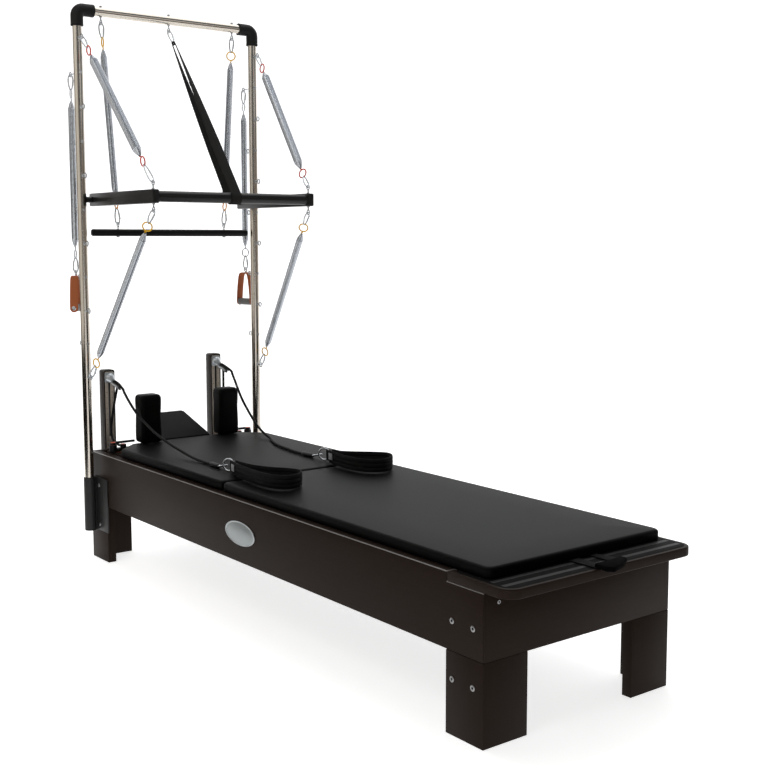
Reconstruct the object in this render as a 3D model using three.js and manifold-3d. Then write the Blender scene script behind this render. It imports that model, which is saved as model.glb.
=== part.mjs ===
// Pilates tower unit: a low wooden reformer frame with a rolling carriage and a mat insert,
// and a chromed tube tower at its head end that carries springs, bars and handles.
// Millimetres, +Z up. The model is laid out from the outer face of the head end board
// (X runs to the foot end, Y across, Z from the floor) and is centred on its box at the end.
import * as THREE from 'three';
import { mergeVertices } from 'three/addons/utils/BufferGeometryUtils.js';
import Module from 'manifold-3d';

const wasm = await Module();
wasm.setup();

// Driving dimensions of the wooden frame
const frameLength = 2118;
const frameWidth = 641;
const railTop = 389;
const railBottom = 203;
const boardThickness = 30;
const railEdgeRadius = 6;
const railEdgeSteps = 3;
const legSideWidth = 131;
const legEndWidth = 139;
const seamGap = 0.3;
const restGap = 0.3;

// Running tracks screwed to the inside of the side rails
const trackWidth = 26;
const trackHeight = 34;
const wheelHeadroom = 15.4;

// Standing platform at the foot end
const platformThickness = 24;
const platformOverhang = 80;
const platformInset = 128;
const platformCornerRadius = 40;

// Oval plate on the near side rail
const plateLength = 168;
const plateHeight = 71;
const plateThickness = 2;
const plateCentreX = 1055;
const plateCentreZ = 291;

// Tower
const tubeDiameter = 32;
const tubeWall = 2;
const towerX = 50;
const towerOutset = 29.5;
const crossTubeHeight = 1940;
const elbowDiameter = 44;
const elbowLeg = 66;
const elbowSocketGap = 0.4;
const uprightBottom = 118;
const frontEyeDrop = 97;
const frontEyeCount = 6;
const backEyeDrop = 214;
const backEyeCount = 5;
const eyePitch = 235.5;
const crossEyeSpread = 262;

// Eyebolts
const eyeRadius = 8;
const eyeWireRadius = 2.3;
const shankRadius = 2.6;
const frontEyeReach = 38;
const handleEyeReach = 68;
const crossEyeDrop = 36;
const nutRadius = 5.5;
const nutThickness = 5;
const boltBite = 1.5;

// Tower sleeves bolted to the side rails
const sleeveDiameter = 40;
const sleeveBottom = 110;
const sleeveTop = 303;
const flangeThickness = 5;
const flangeStart = 30;
const flangeEnd = 143;
const sleeveBoreGap = 0.4;

// Riser posts behind the head end, with their pulley blocks
const riserWidth = 44;
const riserDepth = 38;
const riserFaceX = -42;
const riserInset = 97.5;
const riserBottom = 215;
const riserTopNear = 673;
const riserTopFar = 707;
const riserTopRadius = 8;
const riserFootTop = 372;
const riserSlotWidth = 9;
const riserSlotBottom = 425;
const riserSlotTopMargin = 18;
const blockBelowTop = 28;
const blockSize = 38;
const blockThickness = 6;
const blockBoltRadius = 3.6;
const pulleyRadius = 19;
const pulleyWidth = 11;
const pulleyGrooveDepth = 4;
const grooveFlatShare = 0.35;
const pulleyReach = 44;
const pulleyDrop = 27;
const pulleyAside = 14;
const pulleyTilt = 38;
const pulleyBoreRadius = 3.4;
const forkCheek = 2.2;
const armReachShare = 0.42;
const armRadiusShare = 1.4;
const yokeRadiusShare = 1.2;
const forkGap = 0.6;
const forkEndRadius = 10;
const forkNeckRadius = 5;
const knobRadius = 15;
const knobDepth = 17;
const knobLobes = 5;
const knobLobeShare = 0.1;

// Carriage
const carriageHeadEdge = 50;
const carriageFootEdge = 905;
const carriageSideGap = 10.5;
const carriageBoardThickness = 22;
const padRaise = 3;
const padHeadEdge = 125;
const padFootEdge = 909;
const padSideInset = 23.5;
const padThickness = 28;
const padCrown = 4;
const padEdgeRadius = 7;
const padCornerCut = 82;
const carriageCornerShare = 1.6;
const matCornerShare = 2.4;
const cornerLeastShare = 0.3;
const crownReachShare = 12;
// How a cushion draws in at its foot and at its rim: inset and rise, inset and drop, as shares of the edge radius
const cushionFootShares = [[0.5, 0], [0.15, 0.5], [0, 1.2]];
const cushionRimShares = [[0, 1], [0.3, 0.35], [1, 0]];
const wheelRadius = 22;
const wheelWidth = 14;
const wheelPinRadius = 5;
const wheelBoreGap = 0.4;
const wheelHeadX = 190;
const wheelFootX = 790;
const wheelHangerThickness = 7;
const hangerShare = 0.7;
const wheelShoulderShare = 0.1;

// Shoulder rests and headrest
const restFrontX = 175;
const restDepth = 66;
const restWidth = 80;
const restHalfSpan = 159;
const restTop = 596;
const restCornerRadius = 12;
const restBracketThickness = 5;
const restBracketWidth = 28;
const restPinRadius = 6;
const headrestLength = 197;
const headrestWidth = 222;
const headrestHeadShare = 0.79;
const headrestThickness = 28;
const headrestHingeX = 108;
const headrestTilt = 22.7;
const headrestHingeRadius = 4;
const headrestHingeLength = 180;

// Rope locks on the carriage corners
const lockX = 100;
const lockEdgeInset = 1;
const lockSpacing = 39;
const lockOuterRadius = 14;
const lockInnerRadius = 11;
const lockHeight = 27;
const leverLength = 92;
const leverThickness = 8;
const leverWidth = 11;
const leverSetback = 17;
const leverBossShare = 0.8;

// Mat insert that lies on the rails and on the platform
const matHeadEdge = 910;
const matFootInset = 10;
const matThickness = 28;
const matCrown = 3.5;
const matStrapWidth = 24;
const matStrapThickness = 4;
const matStrapReach = 132;
// Centreline of the pull strap, as shares of its reach, from the mat's foot edge and back to it
const matStrapPathShares = [
  [0, -0.14], [0.3, -0.19], [0.68, -0.24], [0.9, -0.2], [0.93, -0.06], [0.8, 0.2],
  [0.56, 0.5], [0.34, 0.64], [0.14, 0.64], [0, 0.55],
];

// Spring bar under the mat, welded between the tracks
const springBarSetback = 188;
const springBarDrop = 12;
const springBarRadius = 11;
const springBarPegs = 5;
const springBarPegPitch = 100;
const springBarPegHeight = 16;
const springBarPegRadius = 5;

// Push-through bar
const armHeight = 45;
const armThickness = 25;
const armInset = 50;
const armPivotZ = 1290;
const armTail = 24;
const armEndX = 520;
const armCornerRadius = 5;
const armEyeX = 501;
const armEyeRise = 21;
const crossbarX = 500;
const crossbarRadius = 18;
const pivotRadius = 6;
const pivotWasherRadius = 15;
const washerShare = 0.7;
const pivotHeadShare = 1.5;

// Roll-down bar
const rollBarRadius = 12.5;
const barCapShare = 0.35;
const rollBarLength = 632;
const rollBarZ = 1175;
const rollEyeSpread = 216;
const rollEyeRise = 17;

// Springs with end rings and snap hooks
const springRadius = 12.5;
const upperSpringRadius = 15.5;
const springWireRadius = 2;
const springCurls = 6;
const springTaperCurls = 1;
const springNeck = 15;
const endRingRadius = 16;
const endRingWire = 1.9;
const hookLength = 48;
const hookWidth = 22;
const hookWireRadius = 2.5;
const hookBite = 1;
const hookNarrowShare = 0.55;
const hookRiseShare = 0.55;
const hookSeatShare = 0.3;

// Handles on the rear springs
const handleEyeZ = 1033;
const handleHeight = 128;
const handleTopHalf = 11;
const handleBottomHalf = 40;
const handleStrapWidth = 29;
const handleStrapThickness = 4;
const gripRadius = 13;
const handleTurn = 38;

// Safety strap between the cross tube and the push-through bar
const strapWidth = 38;
const strapThickness = 3;
const strapTopRadius = 7;
const strapSeatGap = 0.8;
const strapHookLength = 50;

// Ropes and foot loops
const ropeRadius = 4.5;
const ropeSides = 8;
const loopHeight = 42;
const loopThickness = 7;
const nearLoopLength = 320;
const farLoopLength = 300;
// Centrelines of the two padded loops as they lie, as shares of the loop's length
const nearLoopShares = [
  [0, -0.017], [0.133, -0.043], [0.333, -0.07], [0.55, -0.083], [0.767, -0.08], [0.927, -0.04],
  [1.01, 0.047], [1.0, 0.14], [0.95, 0.225], [0.86, 0.285], [0.78, 0.265], [0.683, 0.215],
  [0.573, 0.153], [0.393, 0.093], [0.217, 0.047], [0.067, 0.022], [0, 0.017],
];
const farLoopShares = [
  [0, -0.017], [0.127, -0.05], [0.313, -0.087], [0.537, -0.11], [0.703, -0.09], [0.827, -0.01],
  [0.87, 0.107], [0.82, 0.23], [0.717, 0.32], [0.6, 0.345], [0.467, 0.293], [0.343, 0.187],
  [0.237, 0.08], [0.1, 0.03], [0, 0.017],
];
const nearLoopHeading = -2;
const farLoopHeading = 2;
const dRingRadius = 19;
const dRingWire = 2.4;
const ropeSleeveRadius = 6.5;
const ropeSleeveLength = 62;
const cordLift = 0.4;
const wrapLift = 1.1;
const wrapAngles = [180, 156, 132, 108, 84, 58];

// Overrun used by every cut that has to break through a face
const overrun = 2;

// Facets of the round forms
const tubeSides = 12;
const wheelSides = 14;
const rodSides = 8;
const nutSides = 6;
const wireSides = 4;
const eyeSteps = 7;
const linkSteps = 8;
const cornerSteps = 2;
const halfTurn = 180;
const quarterTurn = halfTurn / 2;
const degree = Math.PI / halfTurn;
const half = 0.5;

// Finishes
const finishes = {
  wood: new THREE.MeshStandardMaterial({ color: 0x2b2522, roughness: 0.5, metalness: 0 }),
  vinyl: new THREE.MeshStandardMaterial({ color: 0x1d1d1c, roughness: 0.55, metalness: 0 }),
  chrome: new THREE.MeshStandardMaterial({ color: 0xcfccc6, roughness: 0.12, metalness: 1 }),
  zinc: new THREE.MeshStandardMaterial({ color: 0x9aa3a8, roughness: 0.35, metalness: 1 }),
  blackSteel: new THREE.MeshStandardMaterial({ color: 0x1b1b1b, roughness: 0.45, metalness: 0.3 }),
  blackPlastic: new THREE.MeshStandardMaterial({ color: 0x161616, roughness: 0.5, metalness: 0 }),
  plate: new THREE.MeshStandardMaterial({ color: 0xb9bcbd, roughness: 0.3, metalness: 1 }),
  webbing: new THREE.MeshStandardMaterial({ color: 0x141415, roughness: 0.8, metalness: 0 }),
  rope: new THREE.MeshStandardMaterial({ color: 0x121213, roughness: 0.75, metalness: 0 }),
  leather: new THREE.MeshStandardMaterial({ color: 0x96502f, roughness: 0.6, metalness: 0 }),
  redSpring: new THREE.MeshStandardMaterial({ color: 0xa89f98, roughness: 0.35, metalness: 1 }),
  yellowSpring: new THREE.MeshStandardMaterial({ color: 0xa5a79c, roughness: 0.35, metalness: 1 }),
};

// Shape and boolean helpers

function closedMesh(geometry) {
  const bare = geometry.index ? geometry.toNonIndexed() : geometry.clone();
  for (const name of Object.keys(bare.attributes)) {
    if (name !== 'position') bare.deleteAttribute(name);
  }
  const merged = mergeVertices(bare, 1e-4);
  const corners = merged.index.array;
  const kept = [];
  for (let i = 0; i < corners.length; i += 3) {
    const [a, b, c] = [corners[i], corners[i + 1], corners[i + 2]];
    if (a !== b && b !== c && c !== a) kept.push(a, b, c);
  }
  merged.setIndex(kept);
  return merged;
}

function signedVolume(points, corners) {
  const a = new THREE.Vector3();
  const b = new THREE.Vector3();
  const c = new THREE.Vector3();
  let total = 0;
  for (let i = 0; i < corners.length; i += 3) {
    a.fromArray(points, corners[i] * 3);
    b.fromArray(points, corners[i + 1] * 3);
    c.fromArray(points, corners[i + 2] * 3);
    total += a.dot(b.cross(c));
  }
  return total;
}

function solid(geometry) {
  const mesh = closedMesh(geometry);
  const vertProperties = Float32Array.from(mesh.attributes.position.array);
  const triVerts = Uint32Array.from(mesh.index.array);
  if (signedVolume(vertProperties, triVerts) < 0) triVerts.reverse();
  return new wasm.Manifold(new wasm.Mesh({ numProp: 3, vertProperties, triVerts }));
}

function geometryOf(body) {
  const mesh = body.getMesh();
  const geometry = new THREE.BufferGeometry();
  geometry.setAttribute('position', new THREE.BufferAttribute(mesh.vertProperties, 3));
  geometry.setIndex(new THREE.BufferAttribute(mesh.triVerts, 1));
  return geometry;
}

function join(...bodies) {
  return bodies.flat().reduce((total, body) => total.add(body));
}

function cut(body, ...tools) {
  return tools.flat().reduce((total, tool) => total.subtract(tool), body);
}

function box(x0, x1, y0, y1, z0, z1) {
  const geometry = new THREE.BoxGeometry(x1 - x0, y1 - y0, z1 - z0);
  geometry.translate((x0 + x1) * half, (y0 + y1) * half, (z0 + z1) * half);
  return solid(geometry);
}

function vec(x, y, z) {
  return new THREE.Vector3(x, y, z);
}

function turnFromZ(direction) {
  return new THREE.Quaternion().setFromUnitVectors(vec(0, 0, 1), direction.clone().normalize());
}

function rod(from, to, radius, sides) {
  const axis = to.clone().sub(from);
  const geometry = new THREE.CylinderGeometry(radius, radius, axis.length(), sides);
  geometry.rotateX(Math.PI * half);
  geometry.applyQuaternion(turnFromZ(axis));
  const middle = from.clone().add(to).multiplyScalar(half);
  geometry.translate(middle.x, middle.y, middle.z);
  return solid(geometry);
}

function ring(centre, axis, radius, wire, segments, sides) {
  const geometry = new THREE.TorusGeometry(radius, wire, sides, segments);
  geometry.applyQuaternion(turnFromZ(axis));
  geometry.translate(centre.x, centre.y, centre.z);
  return solid(geometry);
}

function revolved(profile, centre, axis, segments) {
  const points = profile.map(([r, z]) => new THREE.Vector2(r, z));
  const geometry = new THREE.LatheGeometry(points, segments);
  geometry.rotateX(Math.PI * half);
  geometry.applyQuaternion(turnFromZ(axis));
  geometry.translate(centre.x, centre.y, centre.z);
  return solid(geometry);
}

function roundedRectangle(width, height, radius, arcSteps) {
  const shape = new THREE.Shape();
  const x = width * half - radius;
  const y = height * half - radius;
  const corners = [[x, -y, -quarterTurn], [x, y, 0], [-x, y, quarterTurn], [-x, -y, halfTurn]];
  for (const [cx, cy, start] of corners) {
    for (let i = 0; i <= arcSteps; i += 1) {
      const angle = (start + (quarterTurn * i) / arcSteps) * degree;
      const px = cx + radius * Math.cos(angle);
      const py = cy + radius * Math.sin(angle);
      if (shape.curves.length === 0 && shape.currentPoint.lengthSq() === 0) shape.moveTo(px, py);
      else shape.lineTo(px, py);
    }
  }
  return shape;
}

function outline(points) {
  return new THREE.Shape(points.map(([x, y]) => new THREE.Vector2(x, y)));
}

// A prism of the shape, standing on z0 and rising to z1
function prism(shape, z0, z1) {
  const geometry = new THREE.ExtrudeGeometry(shape, { depth: z1 - z0, bevelEnabled: false, steps: 1 });
  geometry.translate(0, 0, z0);
  return geometry;
}

// A round tube through the given points, with one ring of corners at each of them
function tubeThrough(points, radius, sideCount) {
  const curve = new THREE.CatmullRomCurve3(points, false, 'centripetal');
  curve.getUtoTmapping = (u) => u;
  const section = new THREE.Shape();
  for (let i = 0; i < sideCount; i += 1) {
    const angle = (2 * Math.PI * i) / sideCount;
    const px = radius * Math.cos(angle);
    const py = radius * Math.sin(angle);
    if (i === 0) section.moveTo(px, py);
    else section.lineTo(px, py);
  }
  const options = { steps: points.length - 1, extrudePath: curve, bevelEnabled: false };
  return solid(new THREE.ExtrudeGeometry(section, options));
}

const pieces = [];

function addPiece(name, body, material) {
  const mesh = new THREE.Mesh(geometryOf(body), material);
  mesh.name = name;
  pieces.push(mesh);
}

// The near side is at -Y and the far side at +Y
const sides = [
  { name: 'near', sign: -1 },
  { name: 'far', sign: 1 },
];

// Wooden frame

const railInner = frameWidth * half - boardThickness;
const railOuter = frameWidth * half;
const platformBottom = railTop - platformThickness;
const platformStart = frameLength - platformInset;
const platformEnd = frameLength + platformOverhang;

// Places that follow the frame and the tower
const towerHalfSpan = railOuter + towerOutset;
const armHalfSpan = towerHalfSpan - armInset;
const frontEyeTop = crossTubeHeight - frontEyeDrop;
const backEyeTop = crossTubeHeight - backEyeDrop;
const carriageHalfWidth = railInner - carriageSideGap;
const padHalfWidth = railOuter - padSideInset;
const lockOuterY = carriageHalfWidth - lockEdgeInset;
const lockInnerY = lockOuterY - lockSpacing;
const matFootEdge = frameLength - matFootInset;
const springBarX = frameLength - springBarSetback;
const riserHalfSpan = railOuter - riserInset;
const padBottom = railTop + padRaise;
const boardTop = padBottom - restGap;
const boardBottom = boardTop - carriageBoardThickness;
const trackTop = boardBottom - wheelHeadroom - 2 * wheelRadius - restGap;
const springBarZ = trackTop - springBarDrop;

function railSection() {
  const height = railTop - railBottom;
  const shape = new THREE.Shape();
  shape.moveTo(-boardThickness * half, 0);
  shape.lineTo(boardThickness * half, 0);
  for (let i = 0; i <= railEdgeSteps; i += 1) {
    const angle = (quarterTurn * i / railEdgeSteps) * degree;
    const px = boardThickness * half - railEdgeRadius + railEdgeRadius * Math.cos(angle);
    shape.lineTo(px, height - railEdgeRadius + railEdgeRadius * Math.sin(angle));
  }
  for (let i = 0; i <= railEdgeSteps; i += 1) {
    const angle = (quarterTurn + quarterTurn * i / railEdgeSteps) * degree;
    const px = -boardThickness * half + railEdgeRadius + railEdgeRadius * Math.cos(angle);
    shape.lineTo(px, height - railEdgeRadius + railEdgeRadius * Math.sin(angle));
  }
  return shape;
}

// A rail along X with both ends cut at 45 degrees on the inside
function sideRail(sign) {
  const bar = new THREE.ExtrudeGeometry(railSection(), { depth: frameLength, bevelEnabled: false, steps: 1 });
  bar.rotateX(Math.PI * half);
  bar.rotateZ(Math.PI * half);
  bar.translate(0, sign * (railOuter - boardThickness * half), railBottom);
  const mitre = boardThickness + seamGap;
  const plan = outline([
    [0, sign * railOuter], [frameLength, sign * railOuter],
    [frameLength - mitre, sign * railInner], [mitre, sign * railInner],
  ]);
  const trimmed = solid(bar).intersect(solid(prism(plan, railBottom, railTop)));
  const rebate = box(platformStart - seamGap, frameLength + overrun,
    -railOuter - overrun, railOuter + overrun, platformBottom - seamGap, railTop + overrun);
  return cut(trimmed, rebate);
}

// A rail across Y whose mitred ends meet the side rails; the foot one stops under the platform
function endRail(outerX, inward, top) {
  const mitre = boardThickness;
  const reach = railOuter - seamGap;
  const plan = outline([
    [outerX, -reach], [outerX, reach],
    [outerX + inward * mitre, reach - mitre], [outerX + inward * mitre, -reach + mitre],
  ]);
  return solid(prism(plan, railBottom, top));
}

function cornerLeg(outerX, inward, sign) {
  const plan = outline([
    [outerX, sign * railOuter],
    [outerX + inward * legSideWidth, sign * railOuter],
    [outerX + inward * legSideWidth, sign * (railOuter - boardThickness)],
    [outerX + inward * boardThickness, sign * (railOuter - boardThickness)],
    [outerX + inward * boardThickness, sign * (railOuter - legEndWidth)],
    [outerX, sign * (railOuter - legEndWidth)],
  ]);
  return solid(prism(plan, 0, railBottom - seamGap));
}

function platform() {
  const length = platformEnd - platformStart;
  const plan = new THREE.Shape();
  plan.moveTo(0, -railOuter);
  const arcSteps = 6;
  const corners = [[-railOuter + platformCornerRadius, -quarterTurn], [railOuter - platformCornerRadius, 0]];
  for (const [cy, start] of corners) {
    for (let i = 0; i <= arcSteps; i += 1) {
      const angle = (start + (quarterTurn * i) / arcSteps) * degree;
      const px = length - platformCornerRadius + platformCornerRadius * Math.cos(angle);
      plan.lineTo(px, cy + platformCornerRadius * Math.sin(angle));
    }
  }
  plan.lineTo(0, railOuter);
  const board = prism(plan, platformBottom, railTop);
  board.translate(platformStart, 0, 0);
  return solid(board);
}

function namePlate() {
  const shape = new THREE.Shape();
  shape.absellipse(0, 0, plateLength * half, plateHeight * half, 0, 2 * Math.PI, false, 0);
  const geometry = new THREE.ExtrudeGeometry(shape, {
    depth: plateThickness, bevelEnabled: false, steps: 1, curveSegments: 9,
  });
  geometry.rotateX(Math.PI * half);
  geometry.translate(plateCentreX, -railOuter - restGap, plateCentreZ);
  return solid(geometry);
}

// Both running tracks, with the spring bar and its pegs welded between them
function trackFrame() {
  const outer = railInner - seamGap;
  const inner = outer - trackWidth;
  const start = boardThickness + seamGap;
  const tracks = sides.map((side) => box(start, frameLength - start,
    Math.min(side.sign * inner, side.sign * outer), Math.max(side.sign * inner, side.sign * outer),
    trackTop - trackHeight, trackTop));
  const reach = inner + overrun;
  const bar = rod(vec(springBarX, -reach, springBarZ), vec(springBarX, reach, springBarZ), springBarRadius, rodSides);
  const pegs = [];
  for (let i = 0; i < springBarPegs; i += 1) {
    const y = (i - (springBarPegs - 1) * half) * springBarPegPitch;
    const top = springBarZ + springBarRadius + springBarPegHeight;
    pegs.push(rod(vec(springBarX, y, springBarZ), vec(springBarX, y, top), springBarPegRadius, nutSides));
  }
  return join(tracks, bar, pegs);
}

function buildFrame() {
  for (const side of sides) {
    addPiece(`side_rail_${side.name}`, sideRail(side.sign), finishes.wood);
    addPiece(`leg_head_${side.name}`, cornerLeg(0, 1, side.sign), finishes.wood);
    addPiece(`leg_foot_${side.name}`, cornerLeg(frameLength, -1, side.sign), finishes.wood);
  }
  addPiece('head_end_rail', endRail(0, 1, railTop), finishes.wood);
  addPiece('foot_end_rail', endRail(frameLength, -1, platformBottom - seamGap), finishes.wood);
  addPiece('standing_platform', platform(), finishes.wood);
  addPiece('oval_plate', namePlate(), finishes.plate);
  addPiece('track_frame', trackFrame(), finishes.blackSteel);
}

// Tower

const tubeRadius = tubeDiameter * half;

// Eye, shank and nut of one eyebolt whose shank crosses a bar; the eye's ring lies in the XZ plane
function eyebolt(barCentre, direction, eyeReach, nutReach) {
  const unit = direction.clone().normalize();
  const eye = barCentre.clone().addScaledVector(unit, eyeReach);
  const shankEnd = barCentre.clone().addScaledVector(unit, eyeReach - eyeRadius);
  const shankStart = barCentre.clone().addScaledVector(unit, nutReach - boltBite);
  const nutStart = barCentre.clone().addScaledVector(unit, -nutReach + boltBite);
  const nutEnd = barCentre.clone().addScaledVector(unit, -nutReach - nutThickness);
  return join(
    ring(eye, vec(0, 1, 0), eyeRadius, eyeWireRadius, eyeSteps, wireSides),
    rod(shankEnd, shankStart, shankRadius, wireSides),
    rod(nutStart, nutEnd, nutRadius, nutSides),
  );
}

function hollowTube(from, to, radius, sideCount) {
  const axis = to.clone().sub(from).normalize();
  const boreStart = from.clone().addScaledVector(axis, -overrun);
  const boreEnd = to.clone().addScaledVector(axis, overrun);
  return cut(rod(from, to, radius, sideCount), rod(boreStart, boreEnd, radius - tubeWall, sideCount));
}

function upright(sign) {
  const y = sign * towerHalfSpan;
  const top = crossTubeHeight - tubeRadius - restGap;
  const tube = hollowTube(vec(towerX, y, uprightBottom), vec(towerX, y, top), tubeRadius, tubeSides);
  const bolts = [];
  for (let i = 0; i < frontEyeCount; i += 1) {
    const centre = vec(towerX, y, frontEyeTop - i * eyePitch);
    bolts.push(eyebolt(centre, vec(1, 0, 0), frontEyeReach, tubeRadius));
  }
  for (let i = 0; i < backEyeCount; i += 1) {
    const centre = vec(towerX, y, backEyeTop - i * eyePitch);
    const reach = i === 0 ? handleEyeReach : frontEyeReach;
    bolts.push(eyebolt(centre, vec(-1, 0, 0), reach, tubeRadius));
  }
  return join(tube, bolts);
}

function crossTube() {
  const reach = towerHalfSpan - tubeRadius - restGap;
  const tube = hollowTube(vec(towerX, -reach, crossTubeHeight), vec(towerX, reach, crossTubeHeight), tubeRadius, tubeSides);
  const bolts = [];
  for (const y of [-crossEyeSpread, 0, crossEyeSpread]) {
    bolts.push(eyebolt(vec(towerX, y, crossTubeHeight), vec(0, 0, -1), crossEyeDrop, tubeRadius));
  }
  return join(tube, bolts);
}

// Bent black fitting over both tube ends: a quarter bend with a straight socket on each leg
function elbow(sign) {
  const outer = elbowDiameter * half;
  const corner = vec(towerX, sign * towerHalfSpan, crossTubeHeight);
  const down = corner.clone().setZ(crossTubeHeight - elbowLeg);
  const across = corner.clone().setY(sign * (towerHalfSpan - elbowLeg));
  const bendCentre = vec(towerX, sign * (towerHalfSpan - outer), crossTubeHeight - outer);
  const bend = [];
  const bendSteps = 6;
  bend.push(down);
  for (let i = 0; i <= bendSteps; i += 1) {
    const angle = (quarterTurn * i / bendSteps) * degree;
    bend.push(vec(towerX, bendCentre.y + sign * outer * Math.cos(angle), bendCentre.z + outer * Math.sin(angle)));
  }
  bend.push(across);
  const body = joinedTube(bend, outer, tubeSides);
  const bore = tubeRadius + elbowSocketGap;
  const boreLow = rod(down.clone().setZ(down.z - overrun), corner.clone().setZ(crossTubeHeight - tubeRadius), bore, tubeSides);
  const boreSide = rod(
    across.clone().setY(across.y - sign * overrun),
    corner.clone().setY(sign * (towerHalfSpan - tubeRadius)), bore, tubeSides,
  );
  return cut(body, boreLow, boreSide);
}

// A tube through a row of points, mitred at each, lying in the YZ plane
function joinedTube(points, radius, sideCount) {
  const rings = points.map((point, i) => {
    const before = points[Math.max(i - 1, 0)];
    const after = points[Math.min(i + 1, points.length - 1)];
    const into = i === 0 ? after.clone().sub(point).normalize() : point.clone().sub(before).normalize();
    const out = i === points.length - 1 ? into.clone() : after.clone().sub(point).normalize();
    const along = into.clone().add(out).normalize();
    const stretch = 1 / Math.max(along.dot(into), half);
    const across = vec(1, 0, 0);
    const inner = new THREE.Vector3().crossVectors(along, across).multiplyScalar(stretch);
    const row = [];
    for (let k = 0; k < sideCount; k += 1) {
      const angle = (2 * Math.PI * k) / sideCount;
      row.push(point.clone()
        .addScaledVector(across, radius * Math.cos(angle))
        .addScaledVector(inner, radius * Math.sin(angle)));
    }
    return row;
  });
  return solid(skin(rings, points[0], points[points.length - 1]));
}

// Closed skin over a list of rings of points, with a fan on each end
function skin(rings, firstCentre, lastCentre) {
  const positions = [];
  const push = (...points) => points.forEach((p) => positions.push(p.x, p.y, p.z));
  const count = rings[0].length;
  for (let i = 0; i + 1 < rings.length; i += 1) {
    for (let k = 0; k < count; k += 1) {
      const n = (k + 1) % count;
      push(rings[i][k], rings[i + 1][k], rings[i + 1][n]);
      push(rings[i][k], rings[i + 1][n], rings[i][n]);
    }
  }
  const last = rings[rings.length - 1];
  for (let k = 0; k < count; k += 1) {
    const n = (k + 1) % count;
    push(firstCentre, rings[0][k], rings[0][n]);
    push(lastCentre, last[n], last[k]);
  }
  const geometry = new THREE.BufferGeometry();
  geometry.setAttribute('position', new THREE.Float32BufferAttribute(positions, 3));
  return geometry;
}

function sleeve(sign) {
  const y = sign * towerHalfSpan;
  const outer = sleeveDiameter * half;
  const barrel = rod(vec(towerX, y, sleeveBottom), vec(towerX, y, sleeveTop), outer, tubeSides);
  const face = sign * (railOuter + restGap);
  const flangeBack = sign * (railOuter + restGap + flangeThickness);
  const flange = box(flangeStart, flangeEnd, Math.min(face, flangeBack), Math.max(face, flangeBack),
    sleeveBottom, sleeveTop);
  const webHalf = outer * half;
  const web = box(towerX - webHalf, towerX + webHalf, Math.min(face, y), Math.max(face, y), sleeveBottom, sleeveTop);
  const bore = rod(vec(towerX, y, uprightBottom - restGap), vec(towerX, y, sleeveTop + overrun),
    tubeRadius + sleeveBoreGap, tubeSides);
  return cut(join(barrel, flange, web), bore);
}

function buildTower() {
  for (const side of sides) {
    addPiece(`tower_sleeve_${side.name}`, sleeve(side.sign), finishes.blackSteel);
    addPiece(`upright_${side.name}`, upright(side.sign), finishes.chrome);
    addPiece(`elbow_${side.name}`, elbow(side.sign), finishes.blackPlastic);
  }
  addPiece('cross_tube', crossTube(), finishes.chrome);
}

// Riser posts with their pulley blocks

function riserTop(sign) {
  return sign < 0 ? riserTopNear : riserTopFar;
}

function riserPost(sign) {
  const y = sign * riserHalfSpan;
  const top = riserTop(sign);
  const shape = new THREE.Shape();
  const w = riserWidth * half;
  shape.moveTo(-w, riserBottom);
  shape.lineTo(w, riserBottom);
  for (const [cx, start] of [[w - riserTopRadius, 0], [-w + riserTopRadius, quarterTurn]]) {
    for (let i = 0; i <= 3; i += 1) {
      const angle = (start + 30 * i) * degree;
      shape.lineTo(cx + riserTopRadius * Math.cos(angle), top - riserTopRadius + riserTopRadius * Math.sin(angle));
    }
  }
  const post = new THREE.ExtrudeGeometry(shape, { depth: riserDepth, bevelEnabled: false, steps: 1 });
  post.rotateX(Math.PI * half);
  post.rotateZ(-Math.PI * half);
  post.translate(riserFaceX, y, 0);
  const foot = box(riserFaceX - overrun, -restGap, y - w, y + w, riserBottom, riserFootTop);
  const slot = box(riserFaceX - riserDepth - overrun, riserFaceX + overrun,
    y - riserSlotWidth * half, y + riserSlotWidth * half, riserSlotBottom, top - riserSlotTopMargin);
  return cut(join(solid(post), foot), slot);
}

function blockCentre(sign) {
  return vec(riserFaceX, sign * riserHalfSpan, riserTop(sign) - blockBelowTop);
}

function pulleyCentre(sign) {
  const centre = blockCentre(sign);
  return vec(centre.x + pulleyReach, centre.y + pulleyAside, centre.z - pulleyDrop);
}

const pulleyAxis = vec(0, Math.cos(pulleyTilt * degree), Math.sin(pulleyTilt * degree));

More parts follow.
